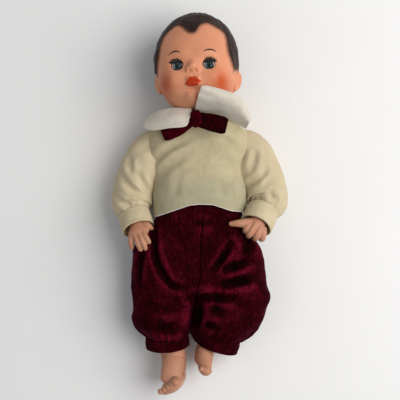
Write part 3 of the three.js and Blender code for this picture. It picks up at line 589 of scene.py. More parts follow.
def velvet_material(name, dark, middle, light):
    """Crushed velvet: the pile lies in patches that catch the light or lose it."""
    material, tree, shader = new_material(
        name, roughness=0.85, specular_ior_level=0.02, sheen_weight=0.16, sheen_roughness=0.35,
        sheen_tint=(0.62, 0.03, 0.16, 1),
    )
    pile = use_group(tree, nap, lean_size=48.0, pile_size=900.0)
    stretch = put(tree, "ShaderNodeMapping", {0: object_place(tree), 3: (1.0, 0.55, 0.8)}).outputs[0]
    fleck = noise_value(tree, stretch, 420.0, 4.0, 0.65, 0.4)
    broad = noise_value(tree, stretch, 62.0, 4.0, 0.6, 1.0)
    # The trousers' painted fold shade darkens the patches, and its painted crest highlight lightens them
    patch = sum_of(tree, "ADD", weighted(tree, fleck, 0.7, broad, 0.46), attribute(tree, "pile_lean_and_fold_shade"))
    colour = blend_colour(tree, ramp(tree, patch, 0.34, 0.68), dark, middle)
    colour = blend_colour(tree, ramp(tree, patch, 0.58, 0.94), colour, light)
    tree.links.new(colour, shader.inputs["Base Color"])
    bump(tree, shader, sum_of(tree, "ADD", pile["Height"], fleck), 0.5, 0.0010)
    return material


def plain_material(name, dark, light, size, **constants):
    """A finish with a slight unevenness of colour."""
    material, tree, shader = new_material(name, **constants)
    mottle = noise_value(tree, object_place(tree), size, 4.0, 0.6)
    colour = blend_colour(tree, ramp(tree, mottle, 0.3, 0.7), dark, light)
    tree.links.new(colour, shader.inputs["Base Color"])
    bump(tree, shader, mottle, 0.1, 0.0004)
    return material


def iris_material():
    """Spokes of grey-blue round a dark pupil, with a dark rim."""
    material, tree, shader = new_material("iris_blue", roughness=0.25, specular_ior_level=0.5)
    out = attribute(tree, "out")
    outwards = sum_of(tree, "MULTIPLY", out, 0.4)
    places = {0: attribute(tree, "turn_x"), 1: attribute(tree, "turn_y"), 2: outwards}
    around = put(tree, "ShaderNodeCombineXYZ", places).outputs[0]
    spokes = noise_value(tree, around, 5.0, 4.0, 0.7)
    colour = blend_colour(tree, ramp(tree, spokes, 0.35, 0.7), IRIS_DEEP, IRIS_PALE)
    colour = blend_colour(tree, ramp(tree, out, 0.78, 0.98), colour, IRIS_RIM)
    colour = blend_colour(tree, ramp(tree, out, 0.42, 0.34), colour, PUPIL)
    tree.links.new(colour, shader.inputs["Base Color"])
    return material


def lens_material():
    material, tree, shader = new_material(
        "clear_lens", roughness=0.02, ior=1.2, transmission_weight=1.0, base_color=(0.97, 0.99, 1, 1),
    )
    bump(tree, shader, noise_value(tree, object_place(tree), 300.0), 0.02, 0.0001)
    return material


skin_limb = skin_material("vinyl_limb", LIMB_DEEP, LIMB)
skin_head = skin_material("vinyl_head", SKIN_DEEP, SKIN, painted=True)
velour = cloth_material("cream_velour", CREAM_DEEP, CREAM, 70.0, 900.0, 0.0008)
velour_front = cloth_material(
    "cream_velour_front", CREAM_FRONT_DEEP, CREAM_FRONT, 70.0, 900.0, 0.0008, greyed=True,
)
cotton = cloth_material(
    "collar_cotton", (0.62, 0.57, 0.48), (0.71, 0.66, 0.57), 90.0, 1300.0, 0.0005, stitched=True,
)
velvet = velvet_material(
    "burgundy_velvet", (0.0030, 0.0001, 0.0003), (0.030, 0.0006, 0.0030), (0.120, 0.0044, 0.0165),
)
# A lighter copy of the velvet: painted light on the knot and the right loop
velvet_painted_light = velvet_material(
    "burgundy_velvet_painted_light", (0.008, 0.0003, 0.0007), (0.058, 0.0012, 0.0052), (0.150, 0.0050, 0.0180),
)
# A darker copy of the velvet: painted shade on the left loop
velvet_painted_shade = velvet_material(
    "burgundy_velvet_painted_shade", (0.004, 0.0001, 0.0004), (0.016, 0.0004, 0.0013), (0.070, 0.0020, 0.0080),
)
iris_blue = iris_material()
clear_lens = lens_material()
eye_white = plain_material("eye_white", (0.60, 0.52, 0.47), (0.70, 0.63, 0.58), 200.0, roughness=0.18)
# The lids' brown: part painted eyeshadow, part painted shade under the lashes
lid_eyeshadow_and_shade = plain_material("lid_eyeshadow_and_shade", (0.20, 0.085, 0.054), (0.28, 0.12, 0.075), 120.0, roughness=0.5)
lash_fibre = plain_material(
    "lash_fibre", (0.010, 0.006, 0.005), (0.028, 0.015, 0.012), 400.0, roughness=0.55,
)
wire_steel = plain_material(
    "wire_steel", (0.42, 0.42, 0.42), (0.55, 0.55, 0.55), 300.0, roughness=0.35, metallic=1.0,
)
dull_lead = plain_material(
    "dull_lead", (0.16, 0.16, 0.17), (0.26, 0.26, 0.28), 150.0, roughness=0.6, metallic=1.0,
)
cup_plastic = plain_material("cup_plastic", (0.60, 0.58, 0.52), (0.72, 0.70, 0.64), 90.0, roughness=0.5)


# Head frame: the eyes' axle gives its x, and the neck's axis its y
HEAD_X = unit(joints["eyes_rock"]["axis"])
HEAD_Y = unit(joints["neck_turn"]["axis"])
HEAD_Z = np.cross(HEAD_X, HEAD_Y)
EYES_PLACE = np.array(joints["eyes_rock"]["pos_m"]) / MM - ORIGIN
HEAD_AXES = np.array([HEAD_X, HEAD_Y, HEAD_Z])
HEAD_PLACE = EYES_PLACE - HEAD_Y * EYE_HEIGHT - HEAD_Z * EYE_DEPTH


def lip_edges(x):
    top = np.interp(x, *np.array(spline(LIP_TOP, np.linspace(0, 1, 60))).T)
    bottom = np.interp(x, *np.array(spline(LIP_BOTTOM, np.linspace(0, 1, 60))).T)
    return MOUTH_HEIGHT + top, MOUTH_HEIGHT + bottom


def face_relief(x, y):
    """How far the features stand out of the plain round of the face."""
    nose = np.hypot(x, y - NOSE_HEIGHT)
    chin = np.hypot(x - CHIN_PLACE[0], y - CHIN_PLACE[1])
    relief = NOSE_STAND * np.exp(-((nose / NOSE_RADIUS) ** 2.8))
    relief = relief + CHIN_STAND * np.exp(-((chin / CHIN_RADIUS) ** 3))
    for across, forms in ((x, MIDDLE_FORMS), (np.abs(x), PAIRED_FORMS)):
        for height, place, spread, up, tall in forms.values():
            relief = relief + height * hump(across - place, spread) * hump(y - up, tall)
    lip = y - MOUTH_HEIGHT
    upper = 2.3 * hump(lip - 2.4, 2.5)
    lower = 2.6 * hump(lip + 2.6, 2.3)
    parting = 1.5 * hump(lip + 0.2 + 0.015 * x * x, 0.8)
    return relief + (upper + lower - parting) * ease(LIP_HALF_WIDTH - np.abs(x), 0, 4)


def from_head(points):
    return HEAD_PLACE + np.asarray(points) @ HEAD_AXES


def from_eye(side, points):
    return EYES_PLACE + side * EYE_HALF_SPAN * HEAD_X + np.asarray(points) @ HEAD_AXES


def head_round(directions, shrink):
    """Points of the plain head in these directions, each half size less its share of shrink."""
    side, crown, chin, face, back = shrink
    x, y, z = directions.T
    sizes = np.stack([
        np.full(len(x), HEAD_HALF_WIDTH - side),
        np.where(y > 0, HEAD_CROWN - crown, HEAD_CHIN - chin),
        np.where(z > 0, HEAD_FACE - face, HEAD_BACK - back),
    ], axis=1)
    power = mix(JAW_ROUNDNESS, CROWN_ROUNDNESS, ease(y, -0.8, 0.8))
    reach = (np.abs(directions / sizes) ** power[:, None]).sum(1) ** (-1 / power)
    return directions * reach[:, None]


def hair_field(points):
    """Millimetres inside the hairline, which runs over the ears and round the nape at the back."""
    x, y, z = points.T
    line = spline(HAIRLINE, np.linspace(0, 1, 120))
    distance, _ = line_distance(x, y, line)
    bare = inside(x, y, [*map(tuple, line), (60, -90), (-60, -90)])
    front = np.where(bare, -distance, distance)
    nape = np.interp(z, *np.array(NAPE).T)
    return mix(y - nape, front, ease(z, 12, 22))


def hair_lift(points):
    """How far the moulded hair stands up: combed locks, with a roll over each ear."""
    x, y, z = points.T
    hair = hair_field(points)
    turn = np.arctan2(x - 3, z + 8)
    comb = np.sin(24 * turn + 2.2 * np.sin(y / 9) + 2.5 * grain(points, 22, 3))
    stand = HAIR_RELIEF + HAIR_COMBING * comb + HAIR_LOCKS * grain(points, 11, 5)
    roll = np.where(x < 0, 2.2, 0.6) * hump(y + 3, 13) * ease(np.abs(x), 37, 45)
    lift = ease(hair, -0.4, 2.6) * (stand + roll) + 0.5 * hump(hair - 2.2, 2.0)
    return lift * ease(y, -46, -30)


def head_directions(piece):
    """Even directions from a cube's points, packed closer round the nose."""
    cube = points_of(piece)
    return tilted(unit(cube * (0.75 + 0.25 * cube**2)), NOSE_TILT)


def make_head():
    head = new_shape("head", "cube", size=2 * MM)
    edit(head, lambda: bpy.ops.mesh.subdivide(number_cuts=HEAD_CUTS))
    directions = head_directions(head)
    points = head_round(directions, (0, 0, 0, 0, 0))
    front = ease(directions[:, 2], 0.05, 0.45)
    points[:, 2] += front * face_relief(points[:, 0], points[:, 1])
    lift = hair_lift(points)
    set_points(head, from_head(points + directions * lift[:, None]))
    boolean(head, "UNION", *(make_ear(side) for side in SIDES.values()))
    tools = [head_hollow()]
    for side in SIDES.values():
        tools += [socket_ball(side), eye_opening(side)]
    tools += neck_tools()
    boolean(head, "DIFFERENCE", *tools)
    paint_face(head)
    return head


def paint_face(head):
    local = (points_of(head) - HEAD_PLACE) @ HEAD_AXES.T
    x, y, z = local.T
    top, bottom = lip_edges(x)
    lips = np.where(z > 20, np.minimum(top - y, y - bottom), -5)
    brow = np.full(len(x), -9.0)
    for path in BROWS.values():
        line = spline(path, np.linspace(0, 1, 30))
        distance, share = line_distance(x, y, line)
        taper = np.sqrt(np.sin(math.pi * np.clip(share, 0.02, 0.98)))
        brow = np.maximum(brow, BROW_HALF_WIDTH * taper - distance)
    brow = np.where(z > 20, brow, -5)
    blush = sum(hump(x - bx, BLUSH_WIDTH) * hump(y - by, BLUSH_HEIGHT) for bx, by in BLUSHES.values())
    paint_values(head, "lips", lips)
    paint_values(head, "brow", brow)
    paint_values(head, "blush", blush * ease(z, 0, 14))
    paint_values(head, "hair", hair_field(local))


def make_ear(side):
    """A rounded shell with a rolled rim, a hollow in front and a lobe."""
    ear = new_ball("ear", 56, 36)
    x, y, z = points_of(ear).T
    out = np.hypot(y * (1 + 0.15 * y), z)
    dish = ease(x * side, -0.1, 0.5)
    rim = 1.1 * hump(out - 0.82, 0.16)
    hollow = 2.4 * hump(out, 0.5)
    fold = 0.9 * hump(z + 0.25, 0.2) * hump(y, 0.4)
    x = x * EAR_THICKNESS / 2 + side * dish * (rim - hollow + fold) + side * EAR_FLARE * y
    taper = 1 - 0.22 * ease(-y, 0, 1)
    points = np.stack([x, y * EAR_LENGTH / 2, z * taper * EAR_WIDTH / 2], axis=1)
    place = [side * (HEAD_HALF_WIDTH - EAR_SINK), EYE_HEIGHT - EAR_DROP, EAR_DEPTH]
    set_points(ear, from_head(swung(tilted(points, EAR_LEAN), EAR_SWING * side) + place))
    return ear


def head_hollow():
    hollow = new_ball("head_hollow", 48, 32)
    directions = unit(points_of(hollow))
    points = head_round(directions, (HEAD_WALL, HEAD_WALL, FACE_WALL, FACE_WALL, HEAD_WALL))
    points[:, 1] = np.maximum(points[:, 1], NECK_SEAT + 2.6)
    set_points(hollow, from_head(points))
    return hollow


def socket_ball(side):
    ball = new_ball("socket_ball", 64, 40, SOCKET_RADIUS)
    set_points(ball, from_eye(side, points_of(ball)))
    return ball


def round_bar(name, radius, low, high, vertices):
    """A cylinder along z, from low to high."""
    bar = new_shape(name, "cylinder", vertices=vertices, radius=radius * MM, depth=2 * MM)
    points = points_of(bar)
    points[:, 2] = mix(low, high, (points[:, 2] + 1) / 2)
    set_points(bar, points)
    return bar


def eye_opening(side):
    """The hole in the face: higher over the eye than under it."""
    hole = round_bar("eye_opening", 1, 0, 20, 72)
    x, y, z = points_of(hole).T
    outline = np.stack([
        OPENING_HALF_WIDTH * signed_power(x, 0.92),
        OPENING_LIFT + OPENING_HALF_HEIGHT * signed_power(y, 0.95),
        z,
    ], axis=1)
    set_points(hole, from_eye(side, outline))
    return hole


def neck_tools():
    tools = []
    cuts = (("seat", NECK_SEAT_RADIUS, -40, 0), ("bore", NECK_BORE_RADIUS, -10, 12))
    for name, radius, low, high in cuts:
        bar = round_bar(name, radius, low, high, 64)
        x, y, z = points_of(bar).T
        set_points(bar, from_head(np.stack([x, NECK_SEAT + z, NECK_BACK - y], axis=1)))
        tools.append(bar)
    return tools


# Eyes, in a frame on each eye: z looks out
def on_eye(side, radius, lift, swing):
    """Places on a ball round an eye: lifted towards the crown, and swung to the side."""
    flat = radius * np.cos(swing)
    points = np.stack([radius * np.sin(swing), flat * np.sin(lift), flat * np.cos(lift)], axis=-1)
    return from_eye(side, points)


def looking(name, points):
    """Places of an eye's points when it is open and looks a little down."""
    return from_eye(SIDES[name], tilted(points, EYE_DIP))


def make_eyeball(name):
    ball = new_ball(f"white_{name}", 72, 48, EYEBALL_RADIUS)
    x, y, z = points_of(ball).T
    recess = np.hypot(x, y) < RECESS_RADIUS
    z = np.where(recess & (z > 0), RECESS_FLOOR, z)
    set_points(ball, looking(name, np.stack([x, y, z], axis=1)))
    return worn(smooth_shade(ball), eye_white)


def round_grid(name, around, out, profile):
    """A turned piece about z: a list of (radius, height) points, from its middle to its middle."""
    piece, u, v = new_grid(name, around, out)
    radius, height = spline(profile, v).T
    turn = 2 * math.pi * u
    return piece, np.stack([radius * np.cos(turn), radius * np.sin(turn), height], axis=1)


def make_iris(name):
    profile = [(0, 4.5), (1.7, 4.52), (3.4, 4.75), (IRIS_EDGE, 5.1), (IRIS_EDGE, 4.6), (0, 4.35)]
    disc, points = round_grid(f"iris_disc_{name}", 64, 40, profile)
    set_points(disc, looking(name, points))
    weld(disc)
    local = tilted((points_of(disc) - from_eye(SIDES[name], np.zeros(3))) @ HEAD_AXES.T, -EYE_DIP)
    out = np.hypot(local[:, 0], local[:, 1])
    paint_values(disc, "out", out / IRIS_EDGE)
    paint_values(disc, "turn_x", local[:, 0] / np.maximum(out, 0.1))
    paint_values(disc, "turn_y", local[:, 1] / np.maximum(out, 0.1))
    return worn(smooth_shade(disc), iris_blue)


def make_lens(name):
    radii = (0, 1.2, 2.4, 3.6, 4.6, IRIS_RADIUS)
    dome = [(r, math.sqrt((EYEBALL_RADIUS + 0.05) ** 2 - r * r)) for r in radii]
    back = [(IRIS_RADIUS, 5.5), (2.5, 5.35), (0, 5.3)]
    lens, points = round_grid(f"clear_lens_{name}", 64, 36, dome + back)
    set_points(lens, looking(name, points))
    return worn(smooth_shade(weld(lens)), clear_lens)


def make_lid(name):
    lid, u, v = new_grid(f"lid_{name}", 40, 36)
    lift = np.radians(mix(LID_FRONT, LID_BACK, v))
    swing = np.radians(LID_HALF_SWING) * (2 * u - 1)
    set_points(lid, on_eye(SIDES[name], LID_OUTER, lift, swing))
    weld(lid)
    apply_modifier(lid, "SOLIDIFY", thickness=(LID_OUTER - LID_INNER) * MM, offset=-1)
    return worn(smooth_shade(lid), lid_eyeshadow_and_shade)


def make_lash(side, swing, length, lift_end):
    """One lash: a fine tapering hair that curls up from the lid's edge."""
    lash, u, v = new_grid("lash", 5, 5)
    root = np.radians(LID_FRONT + 1)
    reach = LID_OUTER + length * v
    lift = root + np.radians(lift_end) * v**1.6
    middle = on_eye(side, reach, lift, np.radians(swing) * (1 + 0.22 * v))
    turn = 2 * math.pi * u
    thick = LASH_RADIUS * (1 - 0.85 * v**1.5)
    ring = np.stack([np.cos(turn), np.sin(turn), np.zeros(len(u))], axis=1) * thick[:, None]
    set_points(lash, middle + ring @ HEAD_AXES)
    return cap(weld(lash))


def make_lashes(name):
    side = SIDES[name]
    rng = np.random.default_rng(11 + side)
    lashes = []
    for swing in np.linspace(-LASH_HALF_SWING, LASH_HALF_SWING, LASH_COUNT):
        shortened = 1 - 0.2 * (swing / LASH_HALF_SWING) ** 2
        length = LASH_LENGTH * shortened + rng.uniform(-0.7, 0.4)
        lashes.append(make_lash(side, swing + rng.uniform(-1, 1), length, rng.uniform(10, 26)))
    fringe = joined(f"lash_fringe_{name}", lashes)
    return worn(smooth_shade(fringe), lash_fibre)


# Limbs
PATH_STEP = 0.004
START_SHARE = 0.22
ROUND_END = 0.2


def path_rings(keys, u, v, start=None, upright=(0, 0, 1), tip=0.0):
    """A tube round a path of (x, y, z, half width, half thickness); tip is its round end's share."""
    body = np.clip(v / (1 - tip), 0, 1)
    row = spline(keys, body)
    centre, width, thick = row[:, :3], row[:, 3], row[:, 4]
    ahead = spline(keys, body + PATH_STEP) - spline(keys, body - PATH_STEP)
    direction = unit(ahead[:, :3])
    if start is not None:
        share = ease(body, 0, START_SHARE)[:, None]
        direction = unit(mix(np.asarray(start, float), direction, share))
    side = unit(np.cross(direction, upright))
    up = np.cross(side, direction)
    past = np.clip((v - (1 - tip)) / max(tip, 1e-9), 0, 1) * math.pi / 2
    centre = centre + direction * (np.sin(past) * np.minimum(width, thick))[:, None]
    turn = 2 * math.pi * u
    across = width * np.cos(past) * np.cos(turn)
    rise = thick * np.cos(past) * np.sin(turn)
    return centre + side * across[:, None] + up * rise[:, None]


def tapered(name, keys, around, along, **shape):
    """A closed round limb or digit."""
    piece, u, v = new_grid(name, around, along)
    set_points(piece, path_rings(keys, u, v, tip=ROUND_END, **shape))
    return cap(weld(piece))


def fused(name, pieces, voxel, rounds):
    """Joins overlapping pieces into one skin and softens it."""
    body = joined(name, pieces)
    apply_modifier(body, "REMESH", mode="VOXEL", voxel_size=voxel * MM)
    apply_modifier(body, "SMOOTH", factor=0.5, iterations=rounds)
    return body


def with_radii(points, radii):
    """Adds a half width and half thickness to each point of a path."""
    return [(*p, *(r if isinstance(r, tuple) else (r, r))) for p, r in zip(points, radii)]


# A limb's plug, along the joint's axis: its neck, and the flange behind the body's wall
ARM_PLUG_RADIUS = 10
LEG_PLUG_RADIUS = 12
PLUG_END = 2
FLANGE_REACH = 2.8
FLANGE_BACK = -5.3
FLANGE_FRONT = -2.9


def make_plug(name, point, axis, radius):
    """The neck and flange that hold a limb in the body's wall."""
    flange = radius + FLANGE_REACH
    profile = np.array([
        (0, FLANGE_BACK), (flange - 0.8, FLANGE_BACK), (flange, FLANGE_BACK + 0.9),
        (flange, FLANGE_FRONT), (radius, FLANGE_FRONT), (radius, PLUG_END), (0, PLUG_END),
    ])
    plug, u, v = new_grid(name, 48, len(profile) - 1)
    radii, heights = profile[np.rint(v * (len(profile) - 1)).astype(int)].T
    axis = unit(axis)
    side = unit(np.cross(axis, (0.1, 0.2, 1)))
    turn = 2 * math.pi * u[:, None]
    ring = side * np.cos(turn) + np.cross(axis, side) * np.sin(turn)
    set_points(plug, np.asarray(point) + ring * radii[:, None] + axis * heights[:, None])
    return weld(plug)


# Arms: their paths and radii to the palm, then four fingers and a thumb
ARM_RADII = [15, 15, 13.5, 12.5, 11.5, 8.6]
ARM_PATHS = {
    "right": [
        (-42.3, 62, 35), (-52, 58, 34), (-66, 38, 31), (-77.5, 10, 31), (-77, -10, 39), (-73, -25, 51),
        (-71, -37, 61),
    ],
    "left": [
        (42.3, 62, 35), (52, 58, 34), (66, 38, 31), (77.5, 12, 33), (76, -4, 43), (70, -17, 56),
        (64.5, -29, 67),
    ],
}
PALMS = {"right": (12.2, 6.8), "left": (11, 9.5)}
FINGER_RADII = {"right": 3.4, "left": 3.9}
FINGER_TAPER = (1.05, 1.0, 0.97, 0.86)
THUMB_TAPER = (1.5, 1.4, 1.1, 0.75)
FINGERS = {
    "right": [
        [(-67, -34, 62.5), (-63.4, -41, 67), (-61, -45, 68), (-59, -48.3, 67)],
        [(-71.5, -36.5, 63), (-67.6, -44.5, 67.4), (-65, -50.5, 67.8), (-62.8, -55.8, 66)],
        [(-76, -38.5, 62.5), (-72.8, -46.5, 65.8), (-70.6, -52, 66), (-68.6, -57, 64)],
        [(-79.4, -39, 60.5), (-79.8, -46, 62.2), (-79.7, -50.5, 62), (-79.2, -54.8, 60.4)],
        [(-67, -27, 56.5), (-62, -29.4, 60), (-58.6, -31.2, 60.5), (-56, -33, 58.5)],
    ],
    "left": [
        [(59, -26, 71), (55.5, -29.5, 75), (52.8, -33.6, 75.5), (52.2, -35.4, 70)],
        [(64, -27.5, 73), (60, -33, 77), (56.6, -39.2, 76.5), (55.8, -41, 70)],
        [(69, -30, 72), (66.8, -36.5, 75.6), (64.2, -43, 74.5), (63.2, -44.2, 68)],
        [(73, -32, 69), (72.6, -38.5, 72), (71.6, -44, 70.5), (70.6, -45, 65)],
        [(61, -26, 68), (52, -26.6, 72.6), (43.5, -26.8, 75.2), (35.6, -27.2, 75)],
    ],
}


def make_finger(name, path, taper):
    return tapered("finger", with_radii(path, [FINGER_RADII[name] * k for k in taper]), 18, 26)


def make_arm(name):
    side = SIDES[name]
    keys = with_radii(ARM_PATHS[name], [*ARM_RADII, PALMS[name]])
    pieces = [tapered("arm", keys, 40, 90, start=(side, 0, 0))]
    *fingers, thumb = FINGERS[name]
    pieces += [make_finger(name, path, FINGER_TAPER) for path in fingers]
    pieces.append(make_finger(name, thumb, THUMB_TAPER))
    pieces.append(make_plug("arm_plug", ARM_PATHS[name][0], (side, 0, 0), ARM_PLUG_RADIUS))
    arm = fused(f"vinyl_arm_{name}", pieces, voxel=0.62, rounds=5)
    return worn(smooth_shade(arm), skin_limb)


# Legs: their paths and radii to the ankle
LEG_RADII = [24, 24, 22.5, 18.5, 16.5]
LEG_PATHS = {
    "right": [
        (-24.2, -78.2, 33), (-36, -90, 33), (-41, -110, 34), (-40, -138, 33), (-37, -162, 30),
        (-31, -188, 27), (-31, -202, 25),
    ],
    "left": [
        (24.2, -78.2, 33), (36, -90, 34), (39, -108, 36), (33, -134, 35), (21, -158, 30),
        (6.4, -177, 28), (4.2, -188, 25),
    ],
}
# Half width and half depth of each oval ankle, which is turned with its foot
ANKLES = {"right": (14.4, 13), "left": (11.2, 13)}
# A foot's heel, instep, ball and toe line, the direction along its toes to the big toe, and its breadth
FEET = {
    "right": (
        [
            (-29.6, -210.6, 13), (-29.6, -210.6, 18), (-30.2, -214.4, 34), (-33, -217, 48.5),
            (-36.2, -218.8, 57),
        ],
        (0.82, 0.57, 0), 1,
    ),
    "left": (
        [(4.6, -190, 12), (4.6, -190, 17), (5, -193, 33), (5.8, -196.5, 46), (6.4, -199, 54)],
        (-0.94, 0.34, 0), 0.56,
    ),
}
FOOT_WIDTHS = [(8, 8), (13.2, 12), (13, 10), (13.6, 8.6), (12.4, 6)]
# The fill between the shin and the toes
INSTEPS = {
    "right": [(-31.5, -188, 35, 13.6, 9), (-33, -199, 43, 12.6, 8.5), (-35.2, -209.5, 50.5, 11.4, 6.5)],
    "left": [(6.4, -178, 35, 10.6, 9), (5.6, -188, 43, 9.4, 8), (6.2, -195, 49.5, 7.6, 6)],
}
# Toes, from the big toe outwards
TOE_SIZES = (1.3, 0.94, 0.88, 0.82, 0.76)
TOE_RADIUS = 4.2
TOE_PITCH = 5.2
TOE_RISE = 2.6


def make_leg(name):
    side = SIDES[name]
    joint = joints[f"{name}_hip"]
    outward = -side * np.array(joint["axis"])
    keys = with_radii(LEG_PATHS[name], [*LEG_RADII, ANKLES[name], ANKLES[name]])
    pieces = [tapered("leg", keys, 44, 90, start=outward)]
    path, row, breadth = FEET[name]
    row = unit(row)
    dorsal = np.cross(row, (0, 0, 1)) * side
    widths = [(wide * breadth, thick) for wide, thick in FOOT_WIDTHS]
    pieces.append(tapered("foot", with_radii(path, widths), 36, 60, upright=dorsal))
    pieces.append(tapered("instep", INSTEPS[name], 32, 40))
    for n, size in enumerate(TOE_SIZES):
        radius = TOE_RADIUS * breadth * size
        reach = 1 - 0.13 * n
        root = np.array(path[-1]) + row * (2 - n) * TOE_PITCH * breadth + dorsal * TOE_RISE * breadth
        middle = root + (0, 0, 1.5 * reach)
        end = root - dorsal * 0.8 + (0, 0, 4.8 * reach)
        keys = with_radii([root - dorsal - (0, 0, 6), middle, end], [radius, radius, radius * 0.88])
        pieces.append(tapered("toe", keys, 18, 22, upright=dorsal))
    pieces.append(make_plug("leg_plug", LEG_PATHS[name][0], outward, LEG_PLUG_RADIUS))
    leg = fused(f"vinyl_leg_{name}", pieces, voxel=0.7, rounds=4)
    return worn(smooth_shade(leg), skin_limb)


# Clothes
def fold_parts(x, y, strokes, spread=1.0):
    """Depth of the valleys along the folds' lines, and height of the soft ridges beside them."""
    valley, ridge = np.zeros(len(x)), np.zeros(len(x))
    for path, width, depth in strokes:
        distance, share = line_distance(x, y, spline(path, np.linspace(0, 1, 24)))
        height = depth * np.abs(np.sin(math.pi * share)) ** 0.7
        width = spread * width
        valley = np.maximum(valley, height * hump(distance, width))
        ridge = np.maximum(ridge, 0.7 * height * hump(distance - 1.9 * width, 1.2 * width))
    return valley, ridge * np.clip(1 - valley, 0, 1)


def fold_relief(x, y, strokes):
    valley, ridge = fold_parts(x, y, strokes)
    return ridge - valley


def cut_away(piece, mask):
    """Takes away the part of a sheet whose points are marked."""
    edit(
        piece,
        lambda: bpy.ops.mesh.select_mode(type="VERT"),
        lambda: bpy.ops.mesh.select_all(action="DESELECT"),
    )
    piece.data.vertices.foreach_set("select", np.asarray(mask, bool))
    bpy.ops.object.mode_set(mode="EDIT")
    bpy.ops.mesh.delete(type="VERT")
    bpy.ops.object.mode_set(mode="OBJECT")


def gathers(u, count, sway, waves):
    """Uneven gathers round a tube, from -1 to 1."""
    return np.sin(2 * math.pi * (count * u + sway * np.sin(2 * math.pi * waves * u)))


def cloth(piece, material, thickness=CLOTH):
    """Gives a sheet its thickness, inwards from the face that shows."""
    apply_modifier(piece, "SOLIDIFY", thickness=thickness * MM, offset=-1)
    select_only(piece)
    bpy.ops.object.shade_smooth_by_angle(angle=math.radians(60))
    return worn(piece, material)


# Shirt: height on the doll, half width, depth, lift off the floor and shift to the side
SHIRT_KEYS = [
    (-12, 55.2, 71.4, 0, -0.6), (12, 55.4, 71.4, 0, -0.4), (36, 54.2, 68.4, 0, -2.6),
    (60, 62, 65.4, 2, -2.6), (77, 59.5, 61.4, 5, -2), (86, 49, 60, 13, -1), (93.5, 36, 54, 23, 0),
    (98.2, 26, 48, 29.5, 0), (102, 21, 42.5, 32, 0),
]
SHIRT_HEM = [(-54, -20.6), (-34, -13.8), (-11.5, -6.3), (0, -5.2), (15, -5.8), (36, -12.7), (54, -14.5)]
SHIRT_LENGTH = 168
SHIRT_POWER = 2.4
# Folds: a line seen from above, its width and its depth
SHIRT_FOLDS = [
    ([(-56, 40), (-44, 54), (-28, 64), (-8, 71)], 4.0, 2.4),
    ([(-52, 24), (-38, 38), (-20, 50), (-8, 56)], 5.0, 1.9),
    ([(46, 58), (32, 66), (14, 72)], 4.0, 1.7),
    ([(44, 34), (28, 44), (12, 48)], 5.5, 1.2),
    ([(-32, 4), (-26, 16), (-20, 28)], 5, 1.0),
    ([(22, -2), (26, 12), (23, 28)], 5, 1.0),
    ([(-50, 8), (-30, 16), (0, 20), (30, 18), (48, 12)], 7, 0.9),
]
ARMHOLE_RADIUS = 12
ARMHOLE_INSIDE = 30


def make_shirt():
    shirt, u, v = new_grid("velour_shirt", 260, 180)
    y, half_width, depth, lift, shift = spline(SHIRT_KEYS, v).T
    turn = 2 * math.pi * u
    x = shift + half_width * signed_power(np.cos(turn), 2 / SHIRT_POWER)
    z = depth / 2 * (1 + signed_power(np.sin(turn), 2 / SHIRT_POWER)) + lift - 0.5
    hem_x, hem_y = np.array(SHIRT_HEM).T
    front = ease(np.sin(turn), -0.1, 0.5)
    y = y + front * (1 - v) ** 4 * (np.interp(x, hem_x, hem_y) - SHIRT_KEYS[0][0])
    set_points(shirt, np.stack([x, y, z], axis=1))
    paint_values(shirt, "hem", v * SHIRT_LENGTH)
    weld(shirt)
    points = points_of(shirt)
    x, y, z = points.T
    front = ease(z, 30, 48)
    rumple = fold_relief(x, y, SHIRT_FOLDS) + 0.9 * grain(points, 26, 2)
    push(shirt, front * rumple + 0.35 * grain(points, 9, 4))
    press_flat(shirt)
    x, y, z = points_of(shirt).T
    from_shoulder = np.hypot(y - SHOULDER_HEIGHT, z - SHOULDER_DEPTH)
    cut_away(shirt, (np.abs(x) > ARMHOLE_INSIDE) & (from_shoulder < ARMHOLE_RADIUS))
    return cloth(shirt, velour_front)


# Sleeves: path, half width and half thickness
SLEEVES = {
    "right": [
        (-46, 62, 35, 19, 15), (-53, 60.6, 34.6, 23, 17), (-61, 51, 33, 26.4, 23.4),
        (-71.5, 30, 30.6, 26, 25.6), (-78.6, 9, 33, 24.8, 24.4), (-80, -6.5, 38.8, 23.6, 22.4),
        (-78.8, -13.4, 42.6, 19.6, 18.4), (-77.4, -18, 45.4, 15.2, 13.8),
        (-76.4, -20.6, 47.2, 14.8, 13.4),
    ],
    "left": [
        (46, 62, 35, 19, 15), (53, 60.6, 34.6, 23, 17), (61, 51, 33, 26.4, 23.4),
        (71.5, 31, 31, 26, 25.6), (78.6, 11, 34.6, 24.6, 24.2), (79.6, -2.5, 41.4, 23.6, 22.4),
        (77.6, -8.4, 46, 19.6, 18.4), (74.9, -12.4, 49.6, 15.2, 13.8), (73.3, -15, 51.8, 14.8, 13.4),
    ],
}
SLEEVE_FOLDS = {
    "right": [
        ([(82, 52), (82, 39), (79, 30)], 3.2, 2.2),
        ([(73, 32), (67, 19), (60, 7)], 3.4, 2.6),
        ([(93, 28), (81, 14), (70, 6), (60, 2)], 3.4, 2.8),
        ([(56, 66), (66, 60), (76, 56)], 4.0, 1.0),
        ([(99, 4), (88, -4), (74, -8)], 3.2, 2.0),
    ],
    "left": [
        ([(65, 60), (62.6, 46), (58, 32.5)], 3.4, 2.6),
        ([(79, 42), (72, 29), (60, 20), (53, 12)], 3.4, 2.8),
        ([(80, 13), (84, 5), (87, -4)], 3.2, 2.0),
        ([(71, 3.5), (60, 0), (54, -3.5)], 3.2, 1.6),
        ([(95, 22), (84, 24), (72, 20)], 3.6, 1.4),
    ],
}
CUFFS = {
    "right": [(-77.4, -17.2, 44.4), (-74.8, -25, 49.4), (-71.8, -33.5, 54.8)],
    "left": [(74.2, -11.8, 49.2), (69.4, -20.6, 56.4), (64.4, -29.6, 63.8)],
}
CUFF_SIZES = [(18.6, 17.2), (19.2, 17.8), (18.8, 17.4)]


